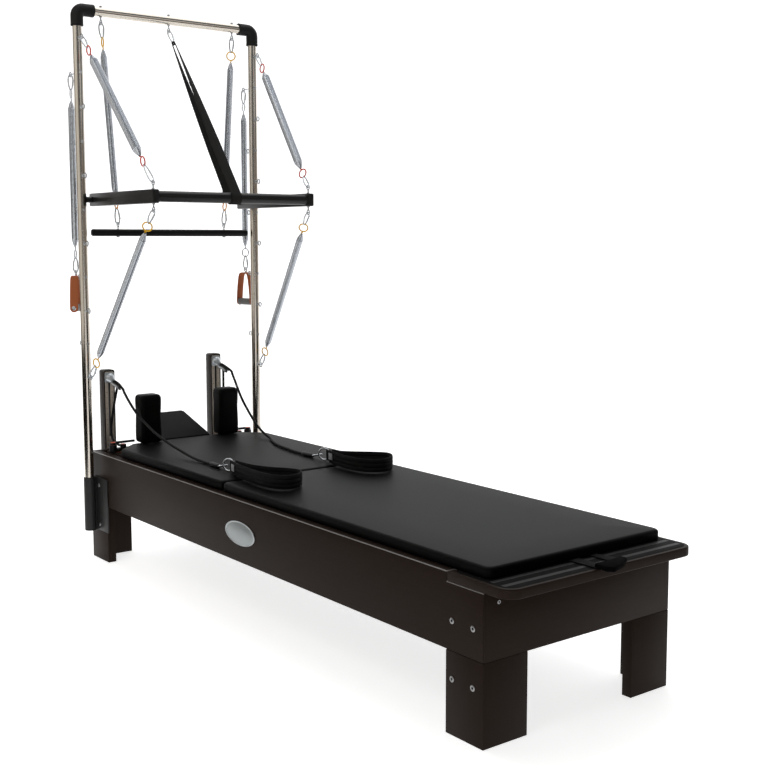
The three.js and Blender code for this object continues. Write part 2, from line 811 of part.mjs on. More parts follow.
// Square slide plate, clamp bolt, swivel arm and the two cheeks that carry the wheel's pin
function pulleyBlock(sign) {
  const centre = blockCentre(sign);
  const wheel = pulleyCentre(sign);
  const faceX = riserFaceX + restGap;
  const plate = solid(prism(roundedRectangle(blockSize, blockSize, blockThickness, cornerSteps), 0, blockThickness)
    .rotateY(Math.PI * half).translate(faceX, centre.y, centre.z));
  const boltEnd = riserFaceX - riserDepth - knobDepth * half;
  const bolt = rod(vec(boltEnd, centre.y, centre.z), vec(faceX + overrun, centre.y, centre.z), blockBoltRadius, rodSides);
  const cheekOut = pulleyWidth * half + forkGap;
  const neck = centre.clone().lerp(wheel, armReachShare);
  const arm = rod(vec(faceX + overrun, centre.y, centre.z), neck, blockBoltRadius * armRadiusShare, rodSides);
  const cheeks = [-1, 1].map((way) => forkPlate(neck, wheel, way * (cheekOut + forkCheek * half)));
  const yoke = rod(
    neck.clone().addScaledVector(pulleyAxis, -cheekOut - forkCheek),
    neck.clone().addScaledVector(pulleyAxis, cheekOut + forkCheek), blockBoltRadius * yokeRadiusShare, nutSides,
  );
  const cheekPin = cheekOut + forkCheek;
  const pin = rod(wheel.clone().addScaledVector(pulleyAxis, -cheekPin),
    wheel.clone().addScaledVector(pulleyAxis, cheekPin), pulleyBoreRadius - restGap, rodSides);
  return join(plate, bolt, arm, yoke, cheeks, pin);
}

// Flat cheek with round ends from the yoke to the wheel's pin, at a distance along the pin
function forkPlate(neck, wheel, offset) {
  const flat = neck.clone().sub(wheel);
  flat.addScaledVector(pulleyAxis, -flat.dot(pulleyAxis));
  const reach = flat.length();
  const points = [];
  for (let i = 0; i <= nutSides; i += 1) {
    const angle = (quarterTurn + halfTurn * i / nutSides) * degree;
    points.push([forkEndRadius * Math.cos(angle), forkEndRadius * Math.sin(angle)]);
  }
  points.push([reach, -forkNeckRadius], [reach, forkNeckRadius]);
  const xAxis = flat.normalize();
  const yAxis = new THREE.Vector3().crossVectors(pulleyAxis, xAxis);
  const turn = new THREE.Matrix4().makeBasis(xAxis, yAxis, pulleyAxis);
  turn.setPosition(wheel.clone().addScaledVector(pulleyAxis, offset));
  return placeAt(solid(prism(outline(points), -forkCheek * half, forkCheek * half)), turn);
}

function pulleyWheel(sign) {
  const w = pulleyWidth * half;
  const profile = [
    [pulleyBoreRadius, -w], [pulleyRadius, -w], [pulleyRadius - pulleyGrooveDepth, -w * grooveFlatShare],
    [pulleyRadius - pulleyGrooveDepth, w * grooveFlatShare], [pulleyRadius, w], [pulleyBoreRadius, w], [pulleyBoreRadius, -w],
  ];
  return revolved(profile, pulleyCentre(sign), pulleyAxis, wheelSides);
}

// Lobed clamp knob behind the riser, bored for the block's bolt
function clampKnob(sign) {
  const centre = blockCentre(sign);
  const shape = new THREE.Shape();
  const steps = knobLobes * 4;
  for (let i = 0; i < steps; i += 1) {
    const angle = (2 * Math.PI * i) / steps;
    const radius = knobRadius * (1 - knobLobeShare + knobLobeShare * Math.cos(knobLobes * angle));
    if (i === 0) shape.moveTo(radius * Math.cos(angle), radius * Math.sin(angle));
    else shape.lineTo(radius * Math.cos(angle), radius * Math.sin(angle));
  }
  const knob = prism(shape, 0, knobDepth);
  knob.rotateY(-Math.PI * half);
  knob.translate(riserFaceX - riserDepth - restGap, centre.y, centre.z);
  const boreEnd = riserFaceX - riserDepth - knobDepth * half - restGap;
  const bore = rod(vec(boreEnd, centre.y, centre.z), vec(riserFaceX - riserDepth + overrun, centre.y, centre.z),
    blockBoltRadius + wheelBoreGap, rodSides);
  return cut(solid(knob), bore);
}

function buildRisers() {
  for (const side of sides) {
    addPiece(`riser_post_${side.name}`, riserPost(side.sign), finishes.blackPlastic);
    addPiece(`pulley_block_${side.name}`, pulleyBlock(side.sign), finishes.zinc);
    addPiece(`pulley_wheel_${side.name}`, pulleyWheel(side.sign), finishes.blackPlastic);
    addPiece(`clamp_knob_${side.name}`, clampKnob(side.sign), finishes.blackPlastic);
  }
}

// Carriage

const wheelCentreZ = trackTop + restGap + wheelRadius;
const wheelInnerY = railInner - trackWidth + (trackWidth - wheelWidth) * half;

function wheelHanger(x, sign) {
  const outerY = sign * (wheelInnerY - restGap);
  const innerY = sign * (wheelInnerY - restGap - wheelHangerThickness);
  const cheekHalf = wheelRadius * hangerShare;
  const cheek = box(x - cheekHalf, x + cheekHalf, Math.min(outerY, innerY), Math.max(outerY, innerY),
    wheelCentreZ - cheekHalf, boardBottom + overrun);
  const pinEnd = sign * (wheelInnerY + wheelWidth - restGap);
  return join(cheek, rod(vec(x, innerY, wheelCentreZ), vec(x, pinEnd, wheelCentreZ), wheelPinRadius, rodSides));
}

function lockStand(sign) {
  const outer = rod(vec(lockX, sign * lockOuterY, boardTop - overrun),
    vec(lockX, sign * lockOuterY, boardTop + lockHeight), lockOuterRadius, tubeSides);
  const inner = rod(vec(lockX, sign * lockInnerY, boardTop - overrun),
    vec(lockX, sign * lockInnerY, boardTop + lockHeight), lockInnerRadius, rodSides);
  const baseLow = Math.min(sign * lockInnerY, sign * lockOuterY);
  const baseHigh = Math.max(sign * lockInnerY, sign * lockOuterY);
  const base = box(lockX - lockInnerRadius, lockX + lockInnerRadius, baseLow, baseHigh,
    boardTop - overrun, boardTop + lockHeight * half);
  const tip = sign * (lockOuterY - lockOuterRadius);
  const flat = box(lockX - lockOuterRadius, lockX + lockOuterRadius,
    Math.min(tip, sign * carriageHalfWidth), Math.max(tip, sign * carriageHalfWidth), boardTop - overrun, boardTop);
  return join(outer, inner, base, flat);
}

function carriageBoard() {
  const board = box(carriageHeadEdge, carriageFootEdge, -carriageHalfWidth, carriageHalfWidth, boardBottom, boardTop);
  const extras = [];
  for (const side of sides) {
    extras.push(wheelHanger(wheelHeadX, side.sign), wheelHanger(wheelFootX, side.sign), lockStand(side.sign));
  }
  const sockets = sides.map((side) => {
    const y = side.sign * restHalfSpan;
    const x = restPinX();
    return rod(vec(x, y, boardBottom - overrun), vec(x, y, boardTop + overrun), restPinRadius + restGap * 2, rodSides);
  });
  return cut(join(board, extras), sockets);
}

function rollingWheel(x, sign) {
  const w = wheelWidth * half;
  const rim = wheelRadius;
  const bore = wheelPinRadius + wheelBoreGap;
  const shoulder = rim * wheelShoulderShare;
  const profile = [
    [bore, -w], [rim - shoulder, -w], [rim, -w + shoulder], [rim, w - shoulder], [rim - shoulder, w], [bore, w], [bore, -w],
  ];
  const y = sign * (wheelInnerY + w);
  return revolved(profile, vec(x, y, wheelCentreZ), vec(0, 1, 0), wheelSides);
}

// Upholstered pad: rings of a rounded plan that draw in at the foot and dome at the crown
function cushion(planAt, thickness, edgeRadius, crown, rows) {
  const rings = [];
  const levels = [];
  for (const [inset, rise] of cushionFootShares) levels.push([edgeRadius * inset, edgeRadius * rise]);
  for (const [inset, drop] of cushionRimShares) levels.push([edgeRadius * inset, thickness - edgeRadius * drop]);
  for (let i = 1; i <= rows; i += 1) {
    const share = i / (rows + 1);
    levels.push([
      edgeRadius + share * crownReachShare * edgeRadius, thickness + crown * Math.sin(share * Math.PI * half),
    ]);
  }
  for (const [inset, z] of levels) {
    rings.push(planAt(inset).map(([x, y]) => vec(x, y, z)));
  }
  const last = rings[rings.length - 1];
  const middle = last.reduce((sum, p) => sum.add(p), vec(0, 0, 0)).multiplyScalar(1 / last.length);
  const first = rings[0].reduce((sum, p) => sum.add(p), vec(0, 0, 0)).multiplyScalar(1 / last.length);
  middle.z = thickness + crown;
  return skin(rings, first, middle);
}

function rectanglePlan(x0, x1, halfWidth, cornerRadius, arcSteps) {
  return (inset) => {
    const points = [];
    const radius = Math.max(cornerRadius - inset * half, cornerRadius * cornerLeastShare);
    const lowX = x0 + inset + radius;
    const highX = x1 - inset - radius;
    const y = halfWidth - inset - radius;
    for (const [cx, cy, start] of [[highX, -y, -quarterTurn], [highX, y, 0], [lowX, y, quarterTurn], [lowX, -y, halfTurn]]) {
      for (let i = 0; i <= arcSteps; i += 1) {
        const angle = (start + (quarterTurn * i) / arcSteps) * degree;
        points.push([cx + radius * Math.cos(angle), cy + radius * Math.sin(angle)]);
      }
    }
    return points;
  };
}

// The carriage pad's plan has both head corners cut off for the rope locks
function carriagePlan(inset) {
  const head = padHeadEdge + inset;
  const foot = padFootEdge - inset;
  const y = padHalfWidth - inset;
  const cutBack = padCornerCut;
  const points = [];
  const radius = Math.max(padEdgeRadius * carriageCornerShare - inset * half, padEdgeRadius * half);
  for (const [cy, start] of [[-y + radius, -quarterTurn], [y - radius, 0]]) {
    for (let i = 0; i <= 3; i += 1) {
      const angle = (start + 30 * i) * degree;
      points.push([foot - radius + radius * Math.cos(angle), cy + radius * Math.sin(angle)]);
    }
  }
  points.push([head + cutBack, y], [head, y - cutBack], [head, 0], [head, -y + cutBack], [head + cutBack, -y]);
  return points;
}

function carriagePad() {
  const geometry = cushion(carriagePlan, padThickness, padEdgeRadius, padCrown, 3);
  geometry.translate(0, 0, padBottom);
  return solid(geometry);
}

function restPinX() {
  return restFrontX - restDepth - restBracketThickness * half;
}

// Padded block, its steel back strap and the pin that drops into the carriage board
function shoulderRest(sign) {
  const y = sign * restHalfSpan;
  const bottom = padBottom + padThickness + padCrown + restGap * 3;
  const plan = roundedRectangle(restDepth, restWidth, restCornerRadius, cornerSteps);
  const outlinePoints = plan.getPoints();
  const height = restTop - bottom;
  const levelShares = [
    [0.8, 0], [0.95, 0.04], [1, 0.2], [0.955, 0.58], [1, 0.82], [0.97, 0.93], [0.86, 0.985], [0.6, 1],
  ];
  const rings = levelShares.map(([scale, share]) => outlinePoints.map((p) => vec(
    restFrontX - restDepth * half + p.x * scale, y + p.y * scale, bottom + height * share,
  )));
  const centreX = restFrontX - restDepth * half;
  const block = solid(skin(rings, vec(centreX, y, bottom), vec(centreX, y, restTop)));
  const strapBack = restFrontX - restDepth - restBracketThickness;
  const bracket = box(strapBack, restFrontX - restDepth + restCornerRadius * half,
    y - restBracketWidth * half, y + restBracketWidth * half, bottom + restCornerRadius, restTop - restWidth);
  const tail = box(strapBack, strapBack + restBracketThickness,
    y - restBracketWidth * half, y + restBracketWidth * half, boardTop + restGap, bottom + restWidth);
  const pin = rod(vec(restPinX(), y, boardBottom), vec(restPinX(), y, boardTop + overrun), restPinRadius, rodSides);
  return join(block, bracket, tail, pin);
}

const headrestPivot = vec(headrestHingeX, 0, boardTop + restGap + headrestHingeRadius);

// Draws in a cushion that runs from 0 back to -length, down to the given share of its width at the back
function narrowToHead(geometry, length, share) {
  const places = geometry.attributes.position;
  for (let i = 0; i < places.count; i += 1) {
    const back = -places.getX(i) / length;
    places.setY(i, places.getY(i) * (1 - (1 - share) * back));
  }
}

function headrest() {
  const plan = rectanglePlan(-headrestLength, 0, headrestWidth * half, padEdgeRadius * 2, cornerSteps);
  const geometry = cushion(plan, headrestThickness, padEdgeRadius, padCrown * half, 2);
  narrowToHead(geometry, headrestLength, headrestHeadShare);
  geometry.rotateY(headrestTilt * degree);
  geometry.translate(headrestPivot.x, 0, headrestPivot.z);
  const reach = headrestHingeLength * half;
  const from = headrestPivot.clone().setY(-reach);
  return join(solid(geometry), rod(from, headrestPivot.clone().setY(reach), headrestHingeRadius, rodSides));
}

// Cam lever of a rope lock: an eye round a post behind the lock and a flat bar across the carriage
function lockLever(sign) {
  const x = lockX - leverSetback;
  const z = boardTop + lockHeight + restGap;
  const startY = sign * (lockOuterY + leverWidth * half);
  const endY = sign * (lockOuterY - leverLength);
  const bar = box(x - leverWidth * half, x + leverWidth * half, Math.min(startY, endY), Math.max(startY, endY),
    z, z + leverThickness);
  const boss = rod(vec(lockX, sign * lockOuterY, z), vec(lockX, sign * lockOuterY, z + leverThickness),
    lockOuterRadius * leverBossShare, rodSides);
  const link = box(x, lockX, sign * lockOuterY - leverWidth * half, sign * lockOuterY + leverWidth * half,
    z, z + leverThickness);
  return join(bar, boss, link);
}

function buildCarriage() {
  addPiece('carriage_board', carriageBoard(), finishes.wood);
  addPiece('carriage_pad', carriagePad(), finishes.vinyl);
  addPiece('headrest', headrest(), finishes.vinyl);
  for (const side of sides) {
    addPiece(`shoulder_rest_${side.name}`, shoulderRest(side.sign), finishes.vinyl);
    addPiece(`lock_lever_${side.name}`, lockLever(side.sign), finishes.blackPlastic);
    addPiece(`wheel_head_${side.name}`, rollingWheel(wheelHeadX, side.sign), finishes.blackPlastic);
    addPiece(`wheel_foot_${side.name}`, rollingWheel(wheelFootX, side.sign), finishes.blackPlastic);
  }
}

// Mat insert

const matBottom = railTop + restGap;

function matPad() {
  const plan = rectanglePlan(matHeadEdge, matFootEdge, padHalfWidth, padEdgeRadius * matCornerShare, 3);
  const geometry = cushion(plan, matThickness, padEdgeRadius, matCrown, 3);
  geometry.translate(0, 0, matBottom);
  return solid(geometry);
}

// Strip of even width along a flat path, as an outline that runs up one side and back down the other
function stripOutline(path, width) {
  const left = [];
  const right = [];
  path.forEach((point, i) => {
    const before = path[Math.max(i - 1, 0)];
    const after = path[Math.min(i + 1, path.length - 1)];
    const way = after.clone().sub(before).normalize();
    const across = new THREE.Vector2(-way.y, way.x).multiplyScalar(width * half);
    left.push(point.clone().add(across));
    right.unshift(point.clone().sub(across));
  });
  return new THREE.Shape([...left, ...right]);
}

function smoothPath(shares, size, count) {
  const points = shares.map(([along, across]) => new THREE.Vector2(along * size, across * size));
  return new THREE.SplineCurve(points).getPoints(count);
}

// Flat webbing loop sewn under the mat's foot edge
function matStrap() {
  const strip = stripOutline(smoothPath(matStrapPathShares, matStrapReach, 16), matStrapWidth);
  const band = prism(strip, matBottom + restGap, matBottom + restGap + matStrapThickness);
  band.translate(matFootEdge + restGap, 0, 0);
  const ground = matFootEdge + restGap;
  const clear = box(ground - matStrapReach, ground, -padHalfWidth, padHalfWidth, railTop, railTop + matThickness);
  return cut(solid(band), clear);
}

function buildMat() {
  addPiece('mat_pad', matPad(), finishes.vinyl);
  addPiece('mat_strap', matStrap(), finishes.webbing);
}

// Push-through bar and roll-down bar

function pushArm(sign) {
  const y = sign * armHalfSpan;
  const length = armEndX - (towerX - armTail);
  const middleX = (armEndX + towerX - armTail) * half;
  const bar = prism(roundedRectangle(length, armHeight, armCornerRadius, cornerSteps), -armThickness * half, armThickness * half);
  bar.rotateX(Math.PI * half);
  bar.translate(middleX, y, armPivotZ);
  const inner = sign * (armHalfSpan + armThickness * half - overrun);
  const outer = sign * (towerHalfSpan - tubeRadius - restGap);
  const washer = rod(vec(towerX, inner, armPivotZ), vec(towerX, outer, armPivotZ), pivotWasherRadius * washerShare, rodSides);
  const headIn = sign * (armHalfSpan - armThickness * half - pivotRadius);
  const head = rod(vec(towerX, headIn, armPivotZ), vec(towerX, sign * armHalfSpan, armPivotZ), pivotRadius * pivotHeadShare, nutSides);
  const eyes = [vec(0, 0, 1), vec(0, 0, -1)].map((way) => {
    const centre = vec(armEyeX, y, armPivotZ);
    const eye = centre.clone().addScaledVector(way, armHeight * half + armEyeRise);
    const foot = centre.clone().addScaledVector(way, armHeight * half - overrun);
    const neck = centre.clone().addScaledVector(way, armHeight * half + armEyeRise - eyeRadius);
    return join(ring(eye, vec(0, 1, 0), eyeRadius, eyeWireRadius, eyeSteps, wireSides), rod(foot, neck, shankRadius, 6));
  });
  return join(solid(bar), washer, head, eyes);
}

function pushCrossbar() {
  const reach = armHalfSpan - armThickness * half - restGap;
  return rod(vec(crossbarX, -reach, armPivotZ), vec(crossbarX, reach, armPivotZ), crossbarRadius, tubeSides);
}

function rollBar() {
  const reach = rollBarLength * half;
  const cap = rollBarRadius * barCapShare;
  const profile = [
    [0, -reach], [rollBarRadius - cap, -reach], [rollBarRadius, -reach + cap],
    [rollBarRadius, reach - cap], [rollBarRadius - cap, reach], [0, reach],
  ];
  const bar = revolved(profile, vec(towerX, 0, rollBarZ), vec(0, 1, 0), tubeSides);
  const bolts = [];
  for (const side of sides) {
    const centre = vec(towerX, side.sign * rollEyeSpread, rollBarZ);
    bolts.push(eyebolt(centre, vec(0, 0, 1), rollBarRadius + rollEyeRise, rollBarRadius));
  }
  return join(bar, bolts);
}

function buildBars() {
  for (const side of sides) addPiece(`push_arm_${side.name}`, pushArm(side.sign), finishes.blackSteel);
  addPiece('push_crossbar', pushCrossbar(), finishes.blackSteel);
  addPiece('roll_down_bar', rollBar(), finishes.blackPlastic);
}

// Springs: a snap hook, an end ring and a neck at each end of one wound tube

// One unbroken wound tube along +Z from z0 to z1: straight neck, taper, full coil, taper, straight neck
function woundTube(z0, z1, outerRadius, axisPlace) {
  const stepsPerCurl = 8;
  const sectionSides = 5;
  const bodyStart = z0 + springNeck;
  const bodyEnd = z1 - springNeck;
  const steps = springCurls * stepsPerCurl;
  const centres = [vec(0, 0, z0)];
  const angles = [0];
  for (let i = 0; i <= steps; i += 1) {
    const curl = i / stepsPerCurl;
    const fromEnd = Math.min(curl, springCurls - curl);
    const radius = (outerRadius - springWireRadius) * Math.min(1, fromEnd / springTaperCurls);
    const angle = 2 * Math.PI * curl;
    const z = bodyStart + (bodyEnd - bodyStart) * (i / steps);
    centres.push(vec(radius * Math.cos(angle), radius * Math.sin(angle), z));
    angles.push(angle);
  }
  centres.push(vec(0, 0, z1));
  angles.push(2 * Math.PI * springCurls);
  reportSelfGap(centres, stepsPerCurl, axisPlace);
  const rings = centres.map((centre, i) => {
    const before = centres[Math.max(i - 1, 0)];
    const after = centres[Math.min(i + 1, centres.length - 1)];
    const tangent = i === 0 || i === centres.length - 1 ? vec(0, 0, 1) : after.clone().sub(before).normalize();
    const radial = vec(Math.cos(angles[i]), Math.sin(angles[i]), 0);
    radial.addScaledVector(tangent, -radial.dot(tangent)).normalize();
    const side = new THREE.Vector3().crossVectors(tangent, radial);
    const row = [];
    for (let k = 0; k < sectionSides; k += 1) {
      const turn = (2 * Math.PI * k) / sectionSides;
      row.push(centre.clone()
        .addScaledVector(radial, springWireRadius * Math.cos(turn))
        .addScaledVector(side, springWireRadius * Math.sin(turn)));
    }
    return row;
  });
  return skin(rings, centres[0], centres[centres.length - 1]);
}

// Prints the least gap between stretches of the tube that lie at least half a curl apart
function reportSelfGap(centres, stepsPerCurl, name) {
  let least = Infinity;
  for (let i = 0; i < centres.length; i += 1) {
    for (let j = i + stepsPerCurl * half; j < centres.length; j += 1) {
      least = Math.min(least, centres[i].distanceTo(centres[j]));
    }
  }
  console.log(`${name}: least gap of the wound tube to itself ${(least - 2 * springWireRadius).toFixed(2)} mm`);
}

// A pear-shaped closed link along +Z between z0 and z1, wide at the end named by its flag
function hookLink(z0, z1, wideAtStart) {
  const points = [];
  const count = 10;
  for (let i = 0; i < count; i += 1) {
    const angle = (2 * Math.PI * i) / count;
    const along = (1 - Math.cos(angle)) * half;
    const wide = wideAtStart ? 1 - along : along;
    const spread = hookWidth * half * (hookNarrowShare + (1 - hookNarrowShare) * wide);
    points.push(vec(0, spread * Math.sin(angle), z0 + (z1 - z0) * along));
  }
  const curve = new THREE.CatmullRomCurve3(points, true, 'centripetal');
  return new THREE.TubeGeometry(curve, linkSteps, hookWireRadius, wireSides, true);
}

// How far past an eye's centre the wire of a hook lies
const hookSeat = (eyeRadius - eyeWireRadius - hookWireRadius - restGap) * hookSeatShare;

// Everything between two eyes, built along +Z with the eyes at 0 and at the given length
function springSet(from, to, outerRadius, name) {
  const axis = to.clone().sub(from);
  const length = axis.length();
  const hookStart = hookSeat;
  const hookEnd = hookStart + hookLength;
  const ringNear = hookEnd - endRingWire - hookWireRadius + hookBite;
  const ringFar = ringNear + 2 * endRingRadius;
  const parts = [
    solid(hookLink(hookStart, hookEnd, true)),
    ring(vec(0, 0, ringNear + endRingRadius), vec(0, 1, 0), endRingRadius, endRingWire, linkSteps, wireSides),
    solid(woundTube(ringFar, length - ringFar, outerRadius, name)),
    ring(vec(0, 0, length - ringNear - endRingRadius), vec(0, 1, 0), endRingRadius, endRingWire, linkSteps, wireSides),
    solid(hookLink(length - hookEnd, length - hookStart, false)),
  ];
  const body = join(parts);
  return placeAlong(body, from, axis);
}

function placeAt(body, matrix) {
  return solid(geometryOf(body).applyMatrix4(matrix));
}

// Turns a body built along +Z so that it runs from a point along a direction, keeping its local Y near +Y
function placeAlong(body, from, direction) {
  const zAxis = direction.clone().normalize();
  const yAxis = vec(0, 1, 0).addScaledVector(zAxis, -zAxis.y).normalize();
  const xAxis = new THREE.Vector3().crossVectors(yAxis, zAxis);
  const turn = new THREE.Matrix4().makeBasis(xAxis, yAxis, zAxis).setPosition(from);
  return placeAt(body, turn);
}

function frontEye(sign, index) {
  return vec(towerX + frontEyeReach, sign * towerHalfSpan, frontEyeTop - index * eyePitch);
}

function armEye(sign, way) {
  return vec(armEyeX, sign * armHalfSpan, armPivotZ + way * (armHeight * half + armEyeRise));
}

function crossEye(sign) {
  return vec(towerX, sign * crossEyeSpread, crossTubeHeight - crossEyeDrop);
}

function rollEye(sign) {
  return vec(towerX, sign * rollEyeSpread, rollBarZ + rollBarRadius + rollEyeRise);
}

function rearEye(sign) {
  return vec(towerX - handleEyeReach, sign * towerHalfSpan, backEyeTop);
}

function handleEye(sign) {
  return vec(towerX - handleEyeReach, sign * towerHalfSpan, handleEyeZ);
}

function buildSprings() {
  const lowerEye = frontEyeCount - 1;
  for (const side of sides) {
    const s = side.sign;
    const upper = `upper_spring_${side.name}`;
    addPiece(upper, springSet(frontEye(s, 0), armEye(s, 1), upperSpringRadius, upper), finishes.redSpring);
    const lower = `lower_spring_${side.name}`;
    addPiece(lower, springSet(armEye(s, -1), frontEye(s, lowerEye), springRadius, lower), finishes.yellowSpring);
    const roll = `roll_spring_${side.name}`;
    addPiece(roll, springSet(crossEye(s), rollEye(s), springRadius, roll), finishes.yellowSpring);
    const handle = `handle_spring_${side.name}`;
    addPiece(handle, springSet(rearEye(s), handleEye(s), springRadius, handle), finishes.zinc);
  }
}

// Leather loop handles: an eye, two strap legs that spread downwards and a round grip between them
function loopHandle(sign) {
  const turn = sign * handleTurn * degree;
  const eye = handleEye(sign);
  const topZ = -eyeRadius - eyeWireRadius;
  const bottomZ = topZ - handleHeight;
  const outer = outline([
    [-handleTopHalf, topZ], [handleTopHalf, topZ], [handleBottomHalf, bottomZ + gripRadius],
    [handleBottomHalf, bottomZ], [handleBottomHalf - handleStrapThickness, bottomZ],
    [handleBottomHalf - handleStrapThickness, bottomZ + gripRadius],
    [handleTopHalf - handleStrapThickness, topZ - handleStrapThickness],
    [-handleTopHalf + handleStrapThickness, topZ - handleStrapThickness],
    [-handleBottomHalf + handleStrapThickness, bottomZ + gripRadius],
    [-handleBottomHalf + handleStrapThickness, bottomZ], [-handleBottomHalf, bottomZ],
    [-handleBottomHalf, bottomZ + gripRadius],
  ]);
  const strap = prism(outer, -handleStrapWidth * half, handleStrapWidth * half);
  strap.rotateX(Math.PI * half);
  const gripZ = bottomZ + gripRadius;
  const reach = handleBottomHalf - handleStrapThickness * half;
  const body = join(
    solid(strap),
    rod(vec(-reach, 0, gripZ), vec(reach, 0, gripZ), gripRadius, tubeSides),
    rod(vec(0, 0, topZ - handleStrapThickness), vec(0, 0, topZ + eyeWireRadius), shankRadius, 6),
  );
  const place = new THREE.Matrix4().makeRotationZ(turn).setPosition(eye);
  return join(placeAt(body, place), ring(eye, vec(0, 1, 0), eyeRadius, eyeWireRadius, eyeSteps, wireSides));
}

function buildHandles() {
  for (const side of sides) addPiece(`loop_handle_${side.name}`, loopHandle(side.sign), finishes.leather);
}

// Safety strap: a snap hook on the cross tube's middle eye and a webbing loop round the crossbar
function safetyStrap() {
  const top = vec(towerX, 0, crossTubeHeight - crossEyeDrop);
  const bar = vec(crossbarX, 0, armPivotZ);
  const axis = bar.clone().sub(top);
  const length = axis.length();
  const hookEnd = hookSeat + strapHookLength;
  const bandStart = hookEnd - hookBite * 2;
  const band = new THREE.Shape(teardrop(bandStart, length, strapTopRadius, crossbarRadius + strapSeatGap + strapThickness));
  band.holes.push(new THREE.Path(teardrop(
    bandStart + strapThickness, length, strapTopRadius - strapThickness, crossbarRadius + strapSeatGap,
  )));
  const webbing = new THREE.ExtrudeGeometry(band, { depth: strapWidth, bevelEnabled: false, steps: 1 });
  webbing.translate(0, 0, -strapWidth * half);
  webbing.rotateX(Math.PI * half);
  const body = join(solid(hookLink(hookSeat, hookEnd, true)), solid(webbing));
  return placeAlong(body, top, axis);
}

// Outline of a loop in the XZ plane: a small round at the top end and a large one round the bar
function teardrop(start, barCentre, topRadius, barRadius) {
  const points = [];
  const arcSteps = 8;
  for (let i = 0; i <= arcSteps; i += 1) {
    const angle = (halfTurn * i / arcSteps) * degree;
    points.push(new THREE.Vector2(-topRadius * Math.cos(angle), start + topRadius - topRadius * Math.sin(angle)));
  }
  for (let i = 0; i <= arcSteps; i += 1) {
    const angle = (halfTurn * i / arcSteps) * degree;
    points.push(new THREE.Vector2(barRadius * Math.cos(angle), barCentre + barRadius * Math.sin(angle)));
  }
  return points;
}

// Ropes and padded foot loops

const padTop = padBottom + padThickness + padCrown;

// Routes over the pad to the rope sleeve, point by point as the ropes lie
const ropeRouteNear = [
  [42, -209.5, 610], [53, -210, 600], [92, -210, 570], [140, -210, 540], [187, -210, 518], [234, -210, 501],
  [283, -210, 484], [332, -210, 471], [405, -210, 456], [477, -210, 445], [540, -210, 436], [600, -209.5, 430.5],
  [640, -209, 429], [684, -209, 429],
];
const ropeRouteFar = [
  [46, 240, 646], [58, 240, 632], [83, 239, 602], [112, 237, 568], [142, 235, 539], [180, 232, 510],
  [218, 228, 486], [262, 222, 463], [310, 216, 445], [350, 212, 434], [385, 205, 429.5], [430, 184, 429],
  [483, 163, 429], [537, 149, 429], [582, 141, 429], [640, 133, 429], [690, 128, 429], [712, 127.5, 429],
];
// Slack runs down behind the pulleys to the rope locks, from the wheel's rear to the lock post
const tailDropShares = [0, 0.26, 0.5, 0.7, 0.85, 0.95, 0.995, 1];
const tailReachShares = [0, 0, 0.01, 0.05, 0.15, 0.34, 0.68, 1];

function routeOf(list) {
  return list.map(([x, y, z]) => vec(x, y, z));
}

// Up within the plane of the wheels, whose pins are tilted
const wheelUp = vec(0, -pulleyAxis.z, pulleyAxis.y);

// The rope's turn over the top of a wheel, from a straight start at its rear to the side that faces the mat
function wheelWrap(sign) {
  const wheel = pulleyCentre(sign);
  const radius = pulleyRadius - pulleyGrooveDepth + ropeRadius + wrapLift;
  const arc = wrapAngles.map((angle) => wheel.clone()
    .add(vec(radius * Math.cos(angle * degree), 0, 0))
    .addScaledVector(wheelUp, radius * Math.sin(angle * degree)));
  return [arc[0].clone().addScaledVector(wheelUp, -2 * ropeRadius), ...arc];
}

function tailPoints(sign) {
  const start = wheelWrap(sign)[0].addScaledVector(wheelUp, -cordLift);
  const top = start.clone().addScaledVector(wheelUp, -2 * ropeRadius);
  const endX = lockX - lockInnerRadius - restGap;
  const endY = sign * lockInnerY;
  const endZ = boardTop + lockHeight * half + ropeRadius;
  const run = tailDropShares.map((drop, i) => {
    const reach = tailReachShares[i];
    return vec(top.x + (endX - top.x) * reach, top.y + (endY - top.y) * reach, top.z + (endZ - top.z) * drop);
  });
  return [start, ...run];
}

// Padded band on its edge along a flat path, both ends joined at the ring
function loopBand(shares, length) {
  const path = smoothPath(shares, length, 20);
  return solid(prism(stripOutline(path, loopThickness), 0, loopHeight));
}

// Padded loop with the ring, snap hook and sleeve that join it to the rope
function footLoop(start, shares, length, heading) {
  const sleeveEnd = vec(ropeSleeveLength, 0, ropeSleeveRadius);
  const ringHeight = dRingRadius + dRingWire;
  const hookStart = vec(ropeSleeveLength - hookBite * 2, 0, ropeSleeveRadius);
  const hookEnd = hookStart.clone().add(vec(hookLength, 0, ringHeight * hookRiseShare));
  const hook = placeAlong(solid(hookLink(0, hookLength, true)), hookStart, hookEnd.clone().sub(hookStart));
  const ringCentre = hookEnd.x - dRingWire - hookWireRadius + hookBite + dRingRadius;
  const bandStart = ringCentre + dRingRadius - dRingWire;
  const band = placeAt(loopBand(shares, length), new THREE.Matrix4().makeTranslation(bandStart, 0, 0));
  const tab = box(bandStart - dRingWire, bandStart + loopThickness * 2, -loopThickness, loopThickness, 0, loopHeight);
  const body = join(
    band, tab, hook,
    rod(vec(0, 0, ropeSleeveRadius), sleeveEnd, ropeSleeveRadius, rodSides),
    ring(vec(ringCentre, 0, ringHeight), vec(0, 1, 0), dRingRadius, dRingWire, linkSteps, wireSides),
  );
  const place = new THREE.Matrix4().makeRotationZ(heading * degree).setPosition(start.x, start.y, padTop + cordLift);
  return placeAt(body, place);
}

